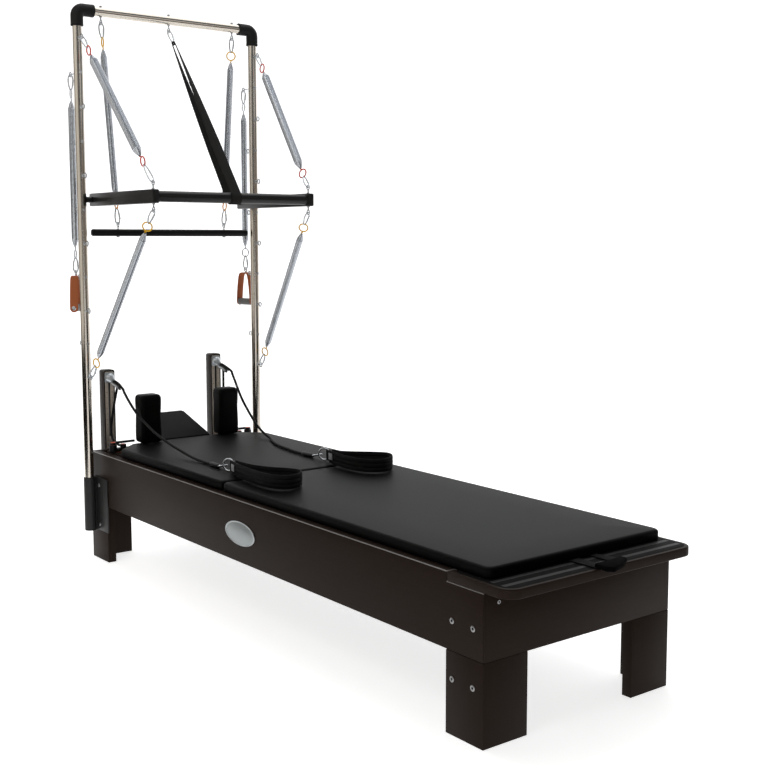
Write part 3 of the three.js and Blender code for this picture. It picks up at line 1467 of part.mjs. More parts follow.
function buildRopes() {
  const routes = { near: ropeRouteNear, far: ropeRouteFar };
  const loops = { near: nearLoopShares, far: farLoopShares };
  const lengths = { near: nearLoopLength, far: farLoopLength };
  const headings = { near: nearLoopHeading, far: farLoopHeading };
  for (const side of sides) {
    const route = [...wheelWrap(side.sign), ...routeOf(routes[side.name])];
    addPiece(`rope_${side.name}`, tubeThrough(route, ropeRadius, ropeSides), finishes.rope);
    const tail = tubeThrough(tailPoints(side.sign), ropeRadius, ropeSides);
    addPiece(`rope_tail_${side.name}`, tail, finishes.rope);
    const start = route[route.length - 1].clone();
    start.x += restGap;
    const loop = footLoop(start, loops[side.name], lengths[side.name], headings[side.name]);
    addPiece(`foot_loop_${side.name}`, loop, finishes.webbing);
  }
}

buildFrame();
buildTower();
buildRisers();
buildCarriage();
buildMat();
buildBars();
buildSprings();
buildHandles();
addPiece('safety_strap', safetyStrap(), finishes.webbing);
buildRopes();

const unit = new THREE.Group();
unit.name = 'pilates_tower_unit';
for (const mesh of pieces) unit.add(mesh);
const bounds = new THREE.Box3().setFromObject(unit);
const middle = bounds.getCenter(vec(0, 0, 0));
unit.position.set(-middle.x, -middle.y, -bounds.min.z);

export default unit;
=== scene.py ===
"""Pilates tower unit: a dark wooden frame with a rolling carriage, a mat and a chromed tower of
spring-loaded bars and handles.

Sizes are in millimetres, X from the outer face of the head end rail to the foot end, Y from the
near side (minus) to the far side, Z from the floor. piece() takes them to the row frame.
"""
from math import cos, hypot, pi, radians, sin, tau

import bmesh
import bpy
from mathutils import Matrix, Vector


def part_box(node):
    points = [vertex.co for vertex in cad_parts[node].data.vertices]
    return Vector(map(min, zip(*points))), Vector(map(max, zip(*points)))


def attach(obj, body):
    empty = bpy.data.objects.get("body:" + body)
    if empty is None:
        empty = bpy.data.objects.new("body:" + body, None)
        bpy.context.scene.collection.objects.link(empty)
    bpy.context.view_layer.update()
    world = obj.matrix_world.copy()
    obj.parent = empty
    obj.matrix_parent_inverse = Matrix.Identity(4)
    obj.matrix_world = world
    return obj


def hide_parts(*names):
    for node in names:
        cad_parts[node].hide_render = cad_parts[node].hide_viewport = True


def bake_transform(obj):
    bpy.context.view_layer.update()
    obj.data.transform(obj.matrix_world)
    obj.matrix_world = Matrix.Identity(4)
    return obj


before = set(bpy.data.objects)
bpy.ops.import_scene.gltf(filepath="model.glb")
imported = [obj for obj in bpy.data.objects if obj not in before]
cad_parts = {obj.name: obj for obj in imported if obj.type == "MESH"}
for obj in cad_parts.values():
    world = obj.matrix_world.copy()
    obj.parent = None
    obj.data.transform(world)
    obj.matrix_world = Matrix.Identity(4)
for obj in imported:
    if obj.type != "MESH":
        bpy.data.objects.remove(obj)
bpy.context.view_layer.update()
to_row = Matrix.Translation((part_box("head_end_rail")[0][0], 0, 0)) @ Matrix.Scale(0.001, 4)
sides = {"near": -1, "far": 1}

# ---- Camera ----
# Solved from the photograph: the rails' long edges, the tower's corners and the legs' feet.
scene = bpy.context.scene
camera = bpy.data.objects.new("camera", bpy.data.cameras.new("camera"))
bpy.context.collection.objects.link(camera)
scene.camera = camera
camera.location = to_row @ Vector((4021.2, -2058.6, 1152))
camera.rotation_euler = (radians(83.969), 0, radians(51.994))
camera.data.lens = 54.598
camera.data.shift_x = -0.00702
camera.data.shift_y = -0.03319


# ---- Ropes and foot loops ----
# Two braided black ropes, 9 mm thick. Each comes up from its rope lock on the carriage, turns
# over its pulley and runs down to a padded webbing loop, which a snap hook and a D ring join
# to a black sleeve on the rope's end. The loops lie on the pads as they were left.
def sockets(material):
    """The inputs of a finish's shader."""
    return material.node_tree.nodes["Principled BSDF"].inputs


def paint(name, colour, roughness, metallic=0.0, gloss=0.3):
    """A plain finish, with its colour as it shows on screen, from 0 to 255."""
    material = bpy.data.materials.new(name)
    material.use_nodes = True
    linear = [((c / 255 + 0.055) / 1.055) ** 2.4 for c in colour]
    sockets(material)["Base Color"].default_value = (*linear, 1)
    sockets(material)["Roughness"].default_value = roughness
    sockets(material)["Metallic"].default_value = metallic
    sockets(material)["Specular IOR Level"].default_value = gloss
    return material


def add(material, kind, source=None, **values):
    """One more node in a material, fed by a socket of another, with the named inputs set."""
    node = material.node_tree.nodes.new("ShaderNode" + kind)
    for key, value in values.items():
        node.inputs[key].default_value = value
    if source:
        material.node_tree.links.new(source, node.inputs[0])
    return node


def relief(material, height, depth):
    """Raises a finish by a texture's value: depth is in millimetres."""
    bump = add(material, "Bump", Distance=depth * 0.001)
    material.node_tree.links.new(height, bump.inputs["Height"])
    material.node_tree.links.new(bump.outputs["Normal"], sockets(material)["Normal"])


def shade(material, value, darker):
    """Darkens a finish's colour where a texture's value is low."""
    base = sockets(material)["Base Color"]
    colour = tuple(base.default_value)
    ramp = add(material, "ValToRGB", value)
    ramp.color_ramp.elements[0].color = (*[c * darker for c in colour[:3]], 1)
    ramp.color_ramp.elements[1].color = colour
    material.node_tree.links.new(ramp.outputs["Color"], base)


def grained(material, size, depth, stretch=(1, 1, 1), darker=1.0):
    """Gives a finish a grain so many millimetres wide, drawn out along an axis by stretch."""
    place = add(material, "TexCoord").outputs["Object"]
    scaled = add(material, "Mapping", place, Scale=[1000 / size / s for s in stretch])
    noise = add(material, "TexNoise", scaled.outputs["Vector"], Scale=1, Detail=5)
    relief(material, noise.outputs["Fac"], depth)
    if darker < 1:
        shade(material, noise.outputs["Fac"], darker)
    return material


def woven(material, pitch, turn, depth, darker):
    """Two crossing rows of threads over a piece's own map, which is in metres, with painted shade
    in the hollows between them.
    """
    uv = add(material, "UVMap").outputs["UV"]
    rows = []
    for way in (-turn, turn):
        turned_map = add(material, "Mapping", uv, Rotation=(0, 0, radians(way)))
        wave = add(material, "TexWave", turned_map.outputs["Vector"], Scale=pi * 100 / pitch)
        rows.append(wave.outputs["Fac"])
    both = add(material, "Math", rows[0])
    both.operation = "MULTIPLY"
    material.node_tree.links.new(rows[1], both.inputs[1])
    relief(material, both.outputs["Value"], depth)
    # Painted shade: the weave is darker where it is low, between its threads
    shade(material, both.outputs["Value"], darker)
    return material


def placed(spot, turn=0, axis="Z"):
    """A place, turned about its own axis by some degrees."""
    return Matrix.Translation(spot) @ Matrix.Rotation(radians(turn), 4, axis)


def turned_to(spot, x, z):
    """A place whose own X and Z point these ways."""
    return placed(spot) @ Matrix((x, Vector(z).cross(x), z)).transposed().to_4x4()


def facing(axis):
    """The turn that takes Z to an axis."""
    return Vector((0, 0, 1)).rotation_difference(Vector(axis)).to_matrix().to_4x4()


def move(bm, place):
    """Takes a whole mesh to its place."""
    bmesh.ops.transform(bm, matrix=place, verts=bm.verts)


def merge(bm, part):
    """Adds one mesh to another and frees it."""
    mesh = bpy.data.meshes.new("part")
    part.to_mesh(mesh)
    part.free()
    bm.from_mesh(mesh)
    bpy.data.meshes.remove(mesh)


def unite(bm, part, place=Matrix(), finish=0):
    """Adds a finished shape to a piece's mesh, in its place and in one of its finishes."""
    move(part, place)
    bmesh.ops.recalc_face_normals(part, faces=part.faces)
    part.loops.layers.uv.verify()
    for face in part.faces:
        face.material_index = finish
        face.smooth = True
    merge(bm, part)


def shown(name, bm, finishes):
    """An object of the scene, from a mesh and its finishes."""
    mesh = bpy.data.meshes.new(name)
    bm.to_mesh(mesh)
    bm.free()
    for finish in finishes:
        mesh.materials.append(finish)
    thing = bpy.data.objects.new(name, mesh)
    bpy.context.collection.objects.link(thing)
    return thing


def piece(name, bm, finishes, body=None, node=None):
    """One object of the visual model, from a mesh in millimetres."""
    move(bm, to_row)
    thing = shown(name, bm, finishes)
    thing.data.set_sharp_from_angle(angle=radians(40))
    if body:
        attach(thing, body)
    if node:
        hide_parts(node)
    return thing


def smoothed(points, steps):
    """A smooth line through points, with so many steps from each to the next."""
    spots = [Vector(p) for p in points]
    last = len(spots) - 1
    line = []
    for i in range(last):
        a, b, c, d = spots[max(i - 1, 0)], spots[i], spots[i + 1], spots[min(i + 2, last)]
        for k in range(steps):
            t = k / steps
            bend = (2 * a - 5 * b + 4 * c - d) * t + (3 * b - a - 3 * c + d) * t * t
            line.append((2 * b + (c - a + bend) * t) / 2)
    return line + [spots[last]]


def arc(radius, start, end, steps):
    """Points on a circle, from one angle in degrees to another."""
    turns = [radians(start + (end - start) * k / steps) for k in range(steps + 1)]
    return [(radius * cos(a), radius * sin(a)) for a in turns]


def circle(radius, count):
    """The points of a round section."""
    return arc(radius, 0, 360, count)[:-1]


def verts_of(geom):
    """The points among an operator's results."""
    return [item for item in geom if isinstance(item, bmesh.types.BMVert)]


def drawn_on(part, edges):
    """Extrudes a ring of edges in place. Gives the new points and the new ring."""
    geom = bmesh.ops.extrude_edge_only(part, edges=edges)["geom"]
    fresh = verts_of(geom)
    return fresh, [item for item in geom if isinstance(item, bmesh.types.BMEdge)
                   and all(vert in fresh for vert in item.verts)]


def ease(part, edges, offset, segments=2):
    """Rounds edges over."""
    bmesh.ops.bevel(part, geom=edges, offset=offset, segments=segments, profile=0.5,
                    affect="EDGES", material=-1)


def sweep(bm, path, section, finish=0, across=None, closed=False):
    """Carries a section along a path by extruding it from point to point. X of the section
    stays level with across, where that is given. The piece's map gets metres round and along."""
    part = bmesh.new()
    uv = part.loops.layers.uv.verify()
    spots = [Vector(p) for p in path]
    count = len(spots)
    places = []
    for i, spot in enumerate(spots):
        back, ahead = i - 1, (i + 1) % count
        if not closed:
            back, ahead = max(i - 1, 0), min(i + 1, count - 1)
        along = (spots[ahead] - spots[back]).normalized()
        if across:
            side = (Vector(across) - along * along.dot(Vector(across))).normalized()
        elif i == 0:
            side = along.orthogonal().normalized()
        else:
            side = (before.rotation_difference(along) @ side).normalized()
        before = along
        places.append(turned_to(spot, side, along))
    ring = [part.verts.new(places[0] @ Vector((x, y, 0))) for x, y in section]
    edges = [part.edges.new((a, b)) for a, b in zip(ring, ring[1:] + ring[:1])]
    first = list(edges)
    around = [0.0]
    for (x0, y0), (x1, y1) in zip(section, section[1:] + section[:1]):
        around.append(around[-1] + hypot(x1 - x0, y1 - y0) * 0.001)
    reach = 0.0
    where = {vert: (around[k], reach) for k, vert in enumerate(ring)}
    for here, there in zip(places, places[1:]):
        reach += (there.translation - here.translation).length * 0.001
        fresh, edges = drawn_on(part, edges)
        bmesh.ops.transform(part, matrix=there @ here.inverted(), verts=fresh)
        ring = [next(o for e in v.link_edges if (o := e.other_vert(v)) in fresh) for v in ring]
        where.update({vert: (around[k], reach) for k, vert in enumerate(ring)})
    for face in part.faces:
        marks = [where[loop.vert] for loop in face.loops]
        far = max(u for u, _ in marks) > around[-1] / 2
        for loop, (u, v) in zip(face.loops, marks):
            loop[uv].uv = (around[-1] if far and u == 0 else u, v)
    if closed:
        bmesh.ops.bridge_loops(part, edges=first + edges)
    else:
        bmesh.ops.contextual_create(part, geom=first)
        bmesh.ops.contextual_create(part, geom=edges)
    unite(bm, part, finish=finish)


def turned(bm, at, axis, profile, finish=0, steps=40):
    """A lathed shape on an axis, from a profile of (height, radius) pairs."""
    part = bmesh.new()
    row = [part.verts.new((radius, 0, height)) for height, radius in profile]
    line = [part.edges.new(pair) for pair in zip(row, row[1:])]
    bmesh.ops.spin(part, geom=row + line, cent=(0, 0, 0), axis=(0, 0, 1), angle=tau,
                   steps=steps, use_merge=True)
    bmesh.ops.remove_doubles(part, verts=part.verts, dist=0.001)
    unite(bm, part, placed(at) @ facing(axis), finish)


def tube(bm, at, axis, low, high, inner, outer, finish=0, steps=64):
    """A plain tube on an axis, between two heights."""
    turned(bm, at, axis, [(low, inner), (low, outer), (high, outer), (high, inner), (low, inner)],
           finish, steps)


def rod(bm, start, end, radius, finish=0, steps=24):
    """A round bar between two points, with eased ends."""
    way = Vector(end) - Vector(start)
    far, edge = way.length, 0.6
    turned(bm, start, way, [(0, 0), (0, radius - edge), (edge, radius), (far - edge, radius),
                            (far, radius - edge), (far, 0)], finish, steps)


def hoop(bm, centre, axis, radius, wire, finish=0, steps=40):
    """A closed ring of round wire."""
    turned(bm, centre, axis, [(rise, radius + out) for out, rise in arc(wire, 0, 360, 12)],
           finish, steps)


def span(start, end):
    """The start of a straight line, its way and length, and the way across it nearest to Y."""
    start, end = Vector(start), Vector(end)
    way = (end - start).normalized()
    return start, way, (end - start).length, (Vector((0, 1, 0)) - way * way.y).normalized()


def snap_hook(bm, start, end):
    """A closed snap hook between two points, in a piece's second finish: a pear-shaped bow in
    a plane that keeps Y level, with a thicker gate along one side."""
    wide, narrowing, wire, steps = 22, 0.45, 2.5, 28
    start, way, length, up = span(start, end)
    bow = []
    for k in range(steps):
        turn = tau * k / steps
        along = (1 - cos(turn)) / 2
        spread = wide / 2 * (1 - narrowing * along) * sin(turn)
        bow.append(start + way * length * along + up * spread)
    sweep(bm, bow, circle(wire, 12), 1, closed=True)
    gate = [start + way * length * share + up * wide / 2 * (1 - narrowing * share) * spread
            for share, spread in ((0.3, 0.97), (0.72, 0.9))]
    rod(bm, *gate, wire * 1.25, 1, 16)


def cube(bm, corner, opposite):
    """A plain box between two corners."""
    pairs = [sorted(pair) for pair in zip(corner, opposite)]
    bmesh.ops.create_cube(bm, size=1, matrix=placed([(a + b) / 2 for a, b in pairs])
                          @ Matrix.Diagonal((*[b - a for a, b in pairs], 1)))


def block(bm, corner, opposite, edge=1.0, finish=0, place=Matrix(), segments=2):
    """A box with eased edges."""
    part = bmesh.new()
    cube(part, corner, opposite)
    ease(part, part.edges[:], edge, segments)
    unite(bm, part, place, finish)


def laid(line):
    """A cord's line in the row frame, in metres, and its length."""
    row = [to_row @ p for p in line]
    return row, sum((b - a).length for a, b in zip(row, row[1:]))


# The ropes and the webbing carry painted shade in the hollows of their weave
rope_black = woven(paint("rope", (16, 16, 17), 0.7, 0, 0.2), 2.6, 45, 0.35, 0.45)
sleeve_black = paint("rope_sleeve", (30, 30, 32), 0.5)
zinc = grained(paint("zinc", (196, 200, 204), 0.26, 1), 1.5, 0.02)
band_black = woven(paint("webbing", (32, 32, 33), 0.85, 0, 0.1), 1.6, 45, 0.2, 0.6)
label_grey = paint("label", (150, 152, 156), 0.7)

# Half a rope's thickness, the radius of its turn over the pulley, and the height of the pad on
# which the fittings and the loops lie
rope_radius, wrap_radius, pad_z = 4.5, 20.6, 424.4
wheel_centres = {"near": Vector((2, -209, 618)), "far": Vector((2, 237, 652))}
tilt = radians(38)
wheel_axis = Vector((0, cos(tilt), sin(tilt)))
wheel_up = Vector((0, -sin(tilt), cos(tilt)))
routes = {
    "near": [(42, -209.5, 610), (53, -210, 600), (92, -210, 570), (140, -210, 540),
             (187, -210, 518), (234, -210, 501), (283, -210, 484), (332, -210, 471),
             (405, -210, 456), (477, -210, 445), (540, -210, 436), (600, -209.5, 430.5),
             (640, -209, 429), (684, -209, 429)],
    "far": [(46, 240, 646), (58, 240, 632), (83, 239, 602), (112, 237, 568), (142, 235, 539),
            (180, 232, 510), (218, 228, 486), (262, 222, 463), (310, 216, 445), (350, 212, 434),
            (385, 205, 429.5), (430, 184, 429), (483, 163, 429), (537, 149, 429),
            (582, 141, 429), (640, 133, 429), (690, 128, 429), (712, 127.5, 429)],
}
# The bands' centrelines from the D ring and back to it, as shares of the loops' lengths
band_lines = {
    "near": [(0.075, -0.022), (0.133, -0.043), (0.333, -0.07), (0.55, -0.083), (0.767, -0.08),
             (0.927, -0.04), (1.01, 0.047), (1.0, 0.14), (0.95, 0.215), (0.87, 0.262),
             (0.78, 0.252), (0.683, 0.2), (0.573, 0.118), (0.393, 0.04), (0.217, 0.016),
             (0.12, 0.01), (0.075, 0.012)],
    "far": [(0.08, -0.026), (0.14, -0.053), (0.313, -0.087), (0.537, -0.11), (0.703, -0.09),
            (0.827, -0.01), (0.87, 0.107), (0.82, 0.23), (0.717, 0.32), (0.6, 0.345),
            (0.467, 0.25), (0.343, 0.13), (0.237, 0.045), (0.14, 0.016), (0.08, 0.012)],
}
# Half the outline of the padded band across its height: three soft rows between piped edges
band_half = [(-21, 1), (-20.4, 2.4), (-19.2, 2.5), (-18, 1.5), (-16.2, 3.1), (-12.5, 3.6),
             (-9, 3.1), (-7.2, 1.4), (-5.4, 3.1), (0, 3.6)]
band_half += [(-x, y) for x, y in reversed(band_half[:-1])]
band_section = band_half + [(x, -y) for x, y in reversed(band_half)]
band_lengths = {"near": 320, "far": 300}

for side, sign in sides.items():
    wheel = wheel_centres[side]
    wrap = [wheel + Vector((wrap_radius * cos(a), 0, 0)) + wheel_up * wrap_radius * sin(a)
            for a in map(radians, (180, 156, 132, 108, 84, 58))]
    route = smoothed([wrap[0] - wheel_up * 9, *wrap, *routes[side]], 6)

    bm = bmesh.new()
    sweep(bm, route, circle(rope_radius, 16))
    rope = piece(f"{side}_rope", bm, [rope_black], None, f"rope_{side}")
    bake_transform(rope)

    # The slack end drops behind the pulley and runs in to the rope lock's inner post. It is led by
    # shares of its way in, aside and down. Below its split it runs down to the carriage.
    start = wrap[0] - wheel_up * 0.4
    top = start - wheel_up * 9
    way = Vector((88.7, sign * 240, 409.7)) - top
    inward = (0, 0, 0.01, 0.05, 0.15, 0.34, 0.68, 1)
    aside = (0, 0.3, 0.56, 0.78, 0.92, 0.98, 1, 1) if sign < 0 else inward
    down = (0, 0.26, 0.5, 0.7, 0.85, 0.95, 0.995, 1)
    slack = smoothed([start, *[top + way * Vector(step) for step in zip(inward, aside, down)]], 8)
    split = 40
    for part_name, line, bodies, replaced in (
            ("upper", slack[:split + 1], (f"block_{side}", "frame"), f"rope_tail_{side}"),
            ("lower", slack[split:], ("frame", "carriage"), None)):
        bm = bmesh.new()
        sweep(bm, line, circle(rope_radius, 16))
        tail = piece(f"{side}_rope_tail_{part_name}", bm, [rope_black], None, replaced)
        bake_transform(tail)
        row, length = laid(line if part_name == "upper" else line[::-1])

    # Sleeve, snap hook and D ring on the rope's end, then the padded loop
    place = placed((route[-1].x + 0.3, route[-1].y, pad_z), 2 * sign)
    bm = bmesh.new()
    turned(bm, (0, 0, 6.5), (1, 0, 0), [
        (0, 0), (0, 4.9), (1, 5.4), (5, 5.8), (7, 7), (10, 7.4), (50, 7.4), (54, 7),
        (56, 5.8), (61, 5.4), (62, 4.8), (62, 0)], 0, 32)
    snap_hook(bm, (60, 0, 6.5), (108, 0, 18.3))
    rod(bm, (56, 0, 6.5), (66, 0, 8), 4, 1)
    hoop(bm, (123.1, 0, 21.4), (0.57, -0.82, 0), 19, 2.6, 1, 48)
    move(bm, place)
    fittings = piece(f"{side}_rope_fittings", bm, [sleeve_black, zinc], "frame")

    bm = bmesh.new()
    reach = band_lengths[side]
    line = smoothed([(139.7 + x * reach, y * reach, 21) for x, y in band_lines[side]], 8)
    sweep(bm, line, band_section, across=(0, 0, 1))
    # The stitched tab that joins the band's ends, and a bare label behind it
    block(bm, (-15.5, -3, -17.5), (15.5, 3, 17.5), 2.2, 0, placed((153, -1.5, 20), -3), 3)
    block(bm, (-12.5, -0.8, -10.5), (12.5, 0.8, 10.5), 0.4, 1,
          placed((186, -19.6 if sign < 0 else -21.4, 24), -10), 3)
    move(bm, place)
    piece(f"{side}_foot_loop", bm, [band_black, label_grey], "frame",
          f"foot_loop_{side}")
    row, length = laid(route)


# ---- Wooden frame ----
# Espresso-stained boards, 30 mm thick, mitred at the corners, on four corner legs made of
# two boards each. Ring-headed screws hold the foot end's corners.
def slab(bm, outline, low, high, edge=1.5, finish=0, segments=2, place=Matrix(), hole=()):
    """A board or plate from its outline in X and Y, with all its edges eased. The outline of its
    hole has as many points."""
    part = bmesh.new()
    rims = []
    for line in filter(None, (outline, hole)):
        ring = [part.verts.new((x, y, low)) for x, y in line]
        rims += [part.edges.new(pair) for pair in zip(ring, ring[1:] + ring[:1])]
    if hole:
        bmesh.ops.bridge_loops(part, edges=rims)
    else:
        part.faces.new(ring)
    top = bmesh.ops.extrude_face_region(part, geom=part.faces[:])["geom"]
    bmesh.ops.translate(part, vec=(0, 0, high - low), verts=verts_of(top))
    ease(part, [e for e in part.edges if e.calc_face_angle(0) > 0.6], edge, segments)
    unite(bm, part, place, finish)


def rounded(x0, y0, x1, y1, radius, steps=6):
    """The outline of a rectangle with round corners."""
    return [(cx + x, cy + y) for cx, cy, start in (
        (x1 - radius, y0 + radius, -90), (x1 - radius, y1 - radius, 0),
        (x0 + radius, y1 - radius, 90), (x0 + radius, y0 + radius, 180))
        for x, y in arc(radius, start, start + 90, steps)]


def wood(name, stretch):
    """The stained wood, with its grain drawn out along one axis."""
    return grained(paint(name, (43, 34, 29), 0.42, 0, 0.04), 1.6, 0.03, stretch, 0.72)


wood_long = wood("wood_long", (60, 1, 1))
wood_cross = wood("wood_cross", (1, 60, 1))
wood_upright = wood("wood_upright", (1, 1, 60))
# A painted highlight for the side rails' upper edges
painted_edge_highlight = paint("painted_edge_highlight", (128, 126, 124), 0.35)
steel = paint("steel", (150, 150, 150), 0.35, 1)
# Painted shade for the screws' sockets, which are drawn flat
painted_socket_shade = paint("painted_socket_shade", (12, 12, 12), 0.9)


def screw(bm, at, way, radius=7.5, height=1.5):
    """A screw's head on a face, in a piece's second and third finish: a low ring round a
    hexagonal socket, which is a flat hexagon in painted shade."""
    turned(bm, at, way, [(-2, 0), (-2, radius), (height * 0.6, radius), (height, radius * 0.86),
                         (height, radius * 0.5), (height * 0.3, radius * 0.46),
                         (height * 0.3, 0)], 1, 28)
    turned(bm, Vector(at) + Vector(way) * height * 0.3, way,
           [(0, radius * 0.46), (0.1, radius * 0.4), (0.1, 0)], 2, 6)


# The frame's length, its boards' outer and inner faces, and the rails' lower edge, top, and top
# under the platform
full, outer_face, inner_face = 2118, 320.5, 290.5
rail_foot, rail_top, ledge = 203, 389, 364.7

for side, sign in sides.items():
    bm = bmesh.new()
    rail = bmesh.new()
    face = rail.faces.new([rail.verts.new((x, sign * outer_face, z)) for x, z in (
        (0, rail_foot), (full, rail_foot), (full, ledge), (1989.7, ledge),
        (1989.7, rail_top), (0, rail_top))])
    for vert in verts_of(bmesh.ops.extrude_face_region(rail, geom=[face])["geom"]):
        vert.co = (min(max(vert.co.x, 30.3), 2087.7), sign * inner_face, vert.co.z)
    ease(rail, rail.edges[:], 2, 3)
    unite(bm, rail)
    # The upper edges are lighter: a painted highlight where their rounded edges catch the light
    for face in bm.faces:
        if 0.2 < face.normal.z < 0.97:
            face.material_index = 3
    for x in (2009, 2082):
        screw(bm, (x, sign * outer_face, 275), (0, sign, 0))
    piece(f"{side}_side_rail", bm, [wood_long, steel, painted_socket_shade, painted_edge_highlight], "frame",
          f"side_rail_{side}")

    for end, x0, way in (("head", 0, 1), ("foot", full, -1)):
        bm = bmesh.new()
        slab(bm, [(x0, sign * outer_face), (x0 + way * 131, sign * outer_face),
                  (x0 + way * 131, sign * inner_face), (x0 + way * 30, sign * inner_face),
                  (x0 + way * 30, sign * 181.5), (x0, sign * 181.5)], 0, 202.7)
        if end == "foot":
            for x in (2010, 2082):
                screw(bm, (x, sign * outer_face, 136), (0, sign, 0))
        piece(f"{side}_{end}_leg", bm, [wood_upright, steel, painted_socket_shade], "frame",
              f"leg_{end}_{side}")

for end, x, inner, high in (("head", 0, 30, rail_top), ("foot", full, 2088, ledge)):
    bm = bmesh.new()
    slab(bm, [(x, -320.2), (inner, -290.2), (inner, 290.2), (x, 320.2)], rail_foot, high)
    if end == "foot":
        for sign in sides.values():
            screw(bm, (full, sign * 275, 338), (1, 0, 0), 5)
    piece(f"{end}_rail", bm, [wood_cross, steel, painted_socket_shade], "frame", f"{end}_end_rail")

# Running tracks under the carriage, with the spring bar and its pegs between them: black steel
black_steel = grained(paint("black_steel", (48, 48, 48), 0.42, 0.2, 0.2), 1.2, 0.05)
bm = bmesh.new()
for sign in sides.values():
    block(bm, (30.3, sign * 290.2, 276), (2087.7, sign * 264.2, 310))
rod(bm, (1930, -264.5, 298), (1930, 264.5, 298), 11)
for k in range(5):
    rod(bm, (1930, k * 100 - 200, 298), (1930, k * 100 - 200, 325), 5)
piece("tracks", bm, [black_steel], "frame", "track_frame")

# Standing platform over the foot end: a wooden board with rounded corners, a black grip top
# and two ribbed strips across it
grip_black = grained(paint("grip_top", (15, 14, 13), 0.75, 0, 0.06), 0.9, 0.2)
strip_grey = grained(paint("grip_strip", (38, 38, 38), 0.6, 0, 0.2), 0.7, 0.15)
bm = bmesh.new()
outline = [(1990, -outer_face), *[p for p in rounded(1900, -outer_face, 2198, outer_face, 40, 10)
                                  if p[0] > 2000], (1990, outer_face)]
slab(bm, outline, 365, 388.6, 3, 0, 4)
slab(bm, rounded(1994, -311, 2188, 311, 32, 8), 388, 389, 0.4, 1)
for x in (2123, 2160):
    slab(bm, rounded(x - 7, -303, x + 7, 303, 3, 3), 388.4, 389.3, 0.3, 2)
piece("platform", bm, [wood_cross, grip_black, strip_grey], "frame", "standing_platform")

# Blank oval plate in the middle of the near rail: brushed metal with a raised rim
plate_metal = grained(paint("plate_metal", (160, 164, 166), 0.3, 0.9), 0.6, 0.02, (40, 1, 1))
plate_face = grained(paint("plate_face", (154, 160, 161), 0.4, 0.4), 0.6, 0.01, (40, 1, 1))
bm = bmesh.new()
for profile, finish in (([(0, 0), (0, 0.985), (1.4, 1), (2, 0.985), (2, 0.93), (1.5, 0.915)], 0),
                        ([(1.5, 0.92), (1.5, 0.86), (1.75, 0.85), (1.75, 0)], 1)):
    turned(bm, (0, 0, 0), (0, 0, 1), profile, finish, 96)
move(bm, placed((1055, -320.8, 291), 90, "X") @ Matrix.Diagonal((84, 35.5, 1, 1)))
piece("plate", bm, [plate_metal, plate_face], "frame", "oval_plate")

# ---- Tower ----
# Two chromed steel tubes, 32 mm thick, stand in black steel sleeves that are bolted to the
# side rails. Black elbows join them to a cross tube. Eyebolts run through all three.
chrome = paint("chrome", (204, 197, 187), 0.16, 1)
elbow_black = grained(paint("elbow", (22, 22, 22), 0.55, 0, 0.2), 1.0, 0.12)


def eye(bm, at, finish=1):
    """An eye of round wire in the XZ plane."""
    hoop(bm, at, (0, 1, 0), 8, 2.3, finish, 32)


def eyebolt(bm, centre, way, reach):
    """An eyebolt through a tube, in a piece's second finish, with a nut on either side."""
    centre, way = Vector(centre), Vector(way)
    eye(bm, centre + way * reach)
    rod(bm, centre - way * 22, centre + way * (reach - 8), 2.6, 1, 14)
    for low, tall in ((-21, 5), (15.5, 3)):
        turned(bm, centre + way * low, way,
               [(0, 0), (0, 5.2), (0.5, 5.5), (tall - 0.5, 5.5), (tall, 5), (tall, 0)], 1, 6)


# The tubes' middles, the highest eyes in front and behind and the step between eyes, and how far
# the common eyes, the handles' and the cross tube's stand out
tower_x, tower_y, cross_z = 50, 350, 1940
front_top, back_top, eye_pitch = 1843, 1726, 235.5
eye_reach, handle_reach, cross_reach = 38, 68, 36

for side, sign in sides.items():
    y = sign * tower_y
    bm = bmesh.new()
    tube(bm, (tower_x, y, 118), (0, 0, 1), 0, 1805.7, 14, 16)
    for k in range(6):
        eyebolt(bm, (tower_x, y, front_top - eye_pitch * k), (1, 0, 0), eye_reach)
    for k in range(5):
        eyebolt(bm, (tower_x, y, back_top - eye_pitch * k), (-1, 0, 0),
                eye_reach if k else handle_reach)
    piece(f"{side}_upright", bm, [chrome, zinc], "frame", f"upright_{side}")

    bm = bmesh.new()
    bend = [(tower_x, sign * (328 + across), 1918 + rise) for across, rise in arc(22, 0, 90, 8)]
    ends = (((tower_x, y, 1884), (0, 0, 1)), ((tower_x, sign * 290, cross_z), (0, sign, 0)))
    sweep(bm, [ends[0][0], (tower_x, y, 1900), *bend, (tower_x, sign * 304, cross_z), ends[1][0]],
          circle(21.6, 40))
    for mouth, way in ends:
        turned(bm, mouth, way, [(0, 16.2), (0, 21.4), (0.6, 22), (8, 22), (8.6, 21.4)])
    piece(f"{side}_elbow", bm, [elbow_black], "frame", f"elbow_{side}")

    # Sleeve: barrel, web and flange, three set screws behind and two bolts through the flange
    bm = bmesh.new()
    turned(bm, (tower_x, y, 110), (0, 0, 1), [(0, 16.4), (0, 19), (1, 20), (192, 20), (193, 19),
                                              (193, 16.4)], 0, 64)
    block(bm, (30, sign * 320.8, 110), (143, sign * 325.8, 303), 1.2)
    block(bm, (40, sign * 322, 110.5), (60, y - sign * 8, 302.5))
    for z in (281, 171, 127):
        rod(bm, (32, y, z), (22, y, z), 5, 0, 16)
        # Each set screw's socket is a flat hexagon in painted shade
        turned(bm, (22, y, z), (-1, 0, 0), [(0, 3.2), (-0.5, 3), (-0.5, 0)], 2, 6)
    for z in (274, 132):
        screw(bm, (78, sign * 325.8, z), (0, sign, 0), 6.5, 4)
    piece(f"{side}_sleeve", bm, [black_steel, steel, painted_socket_shade], "frame",
          f"tower_sleeve_{side}")

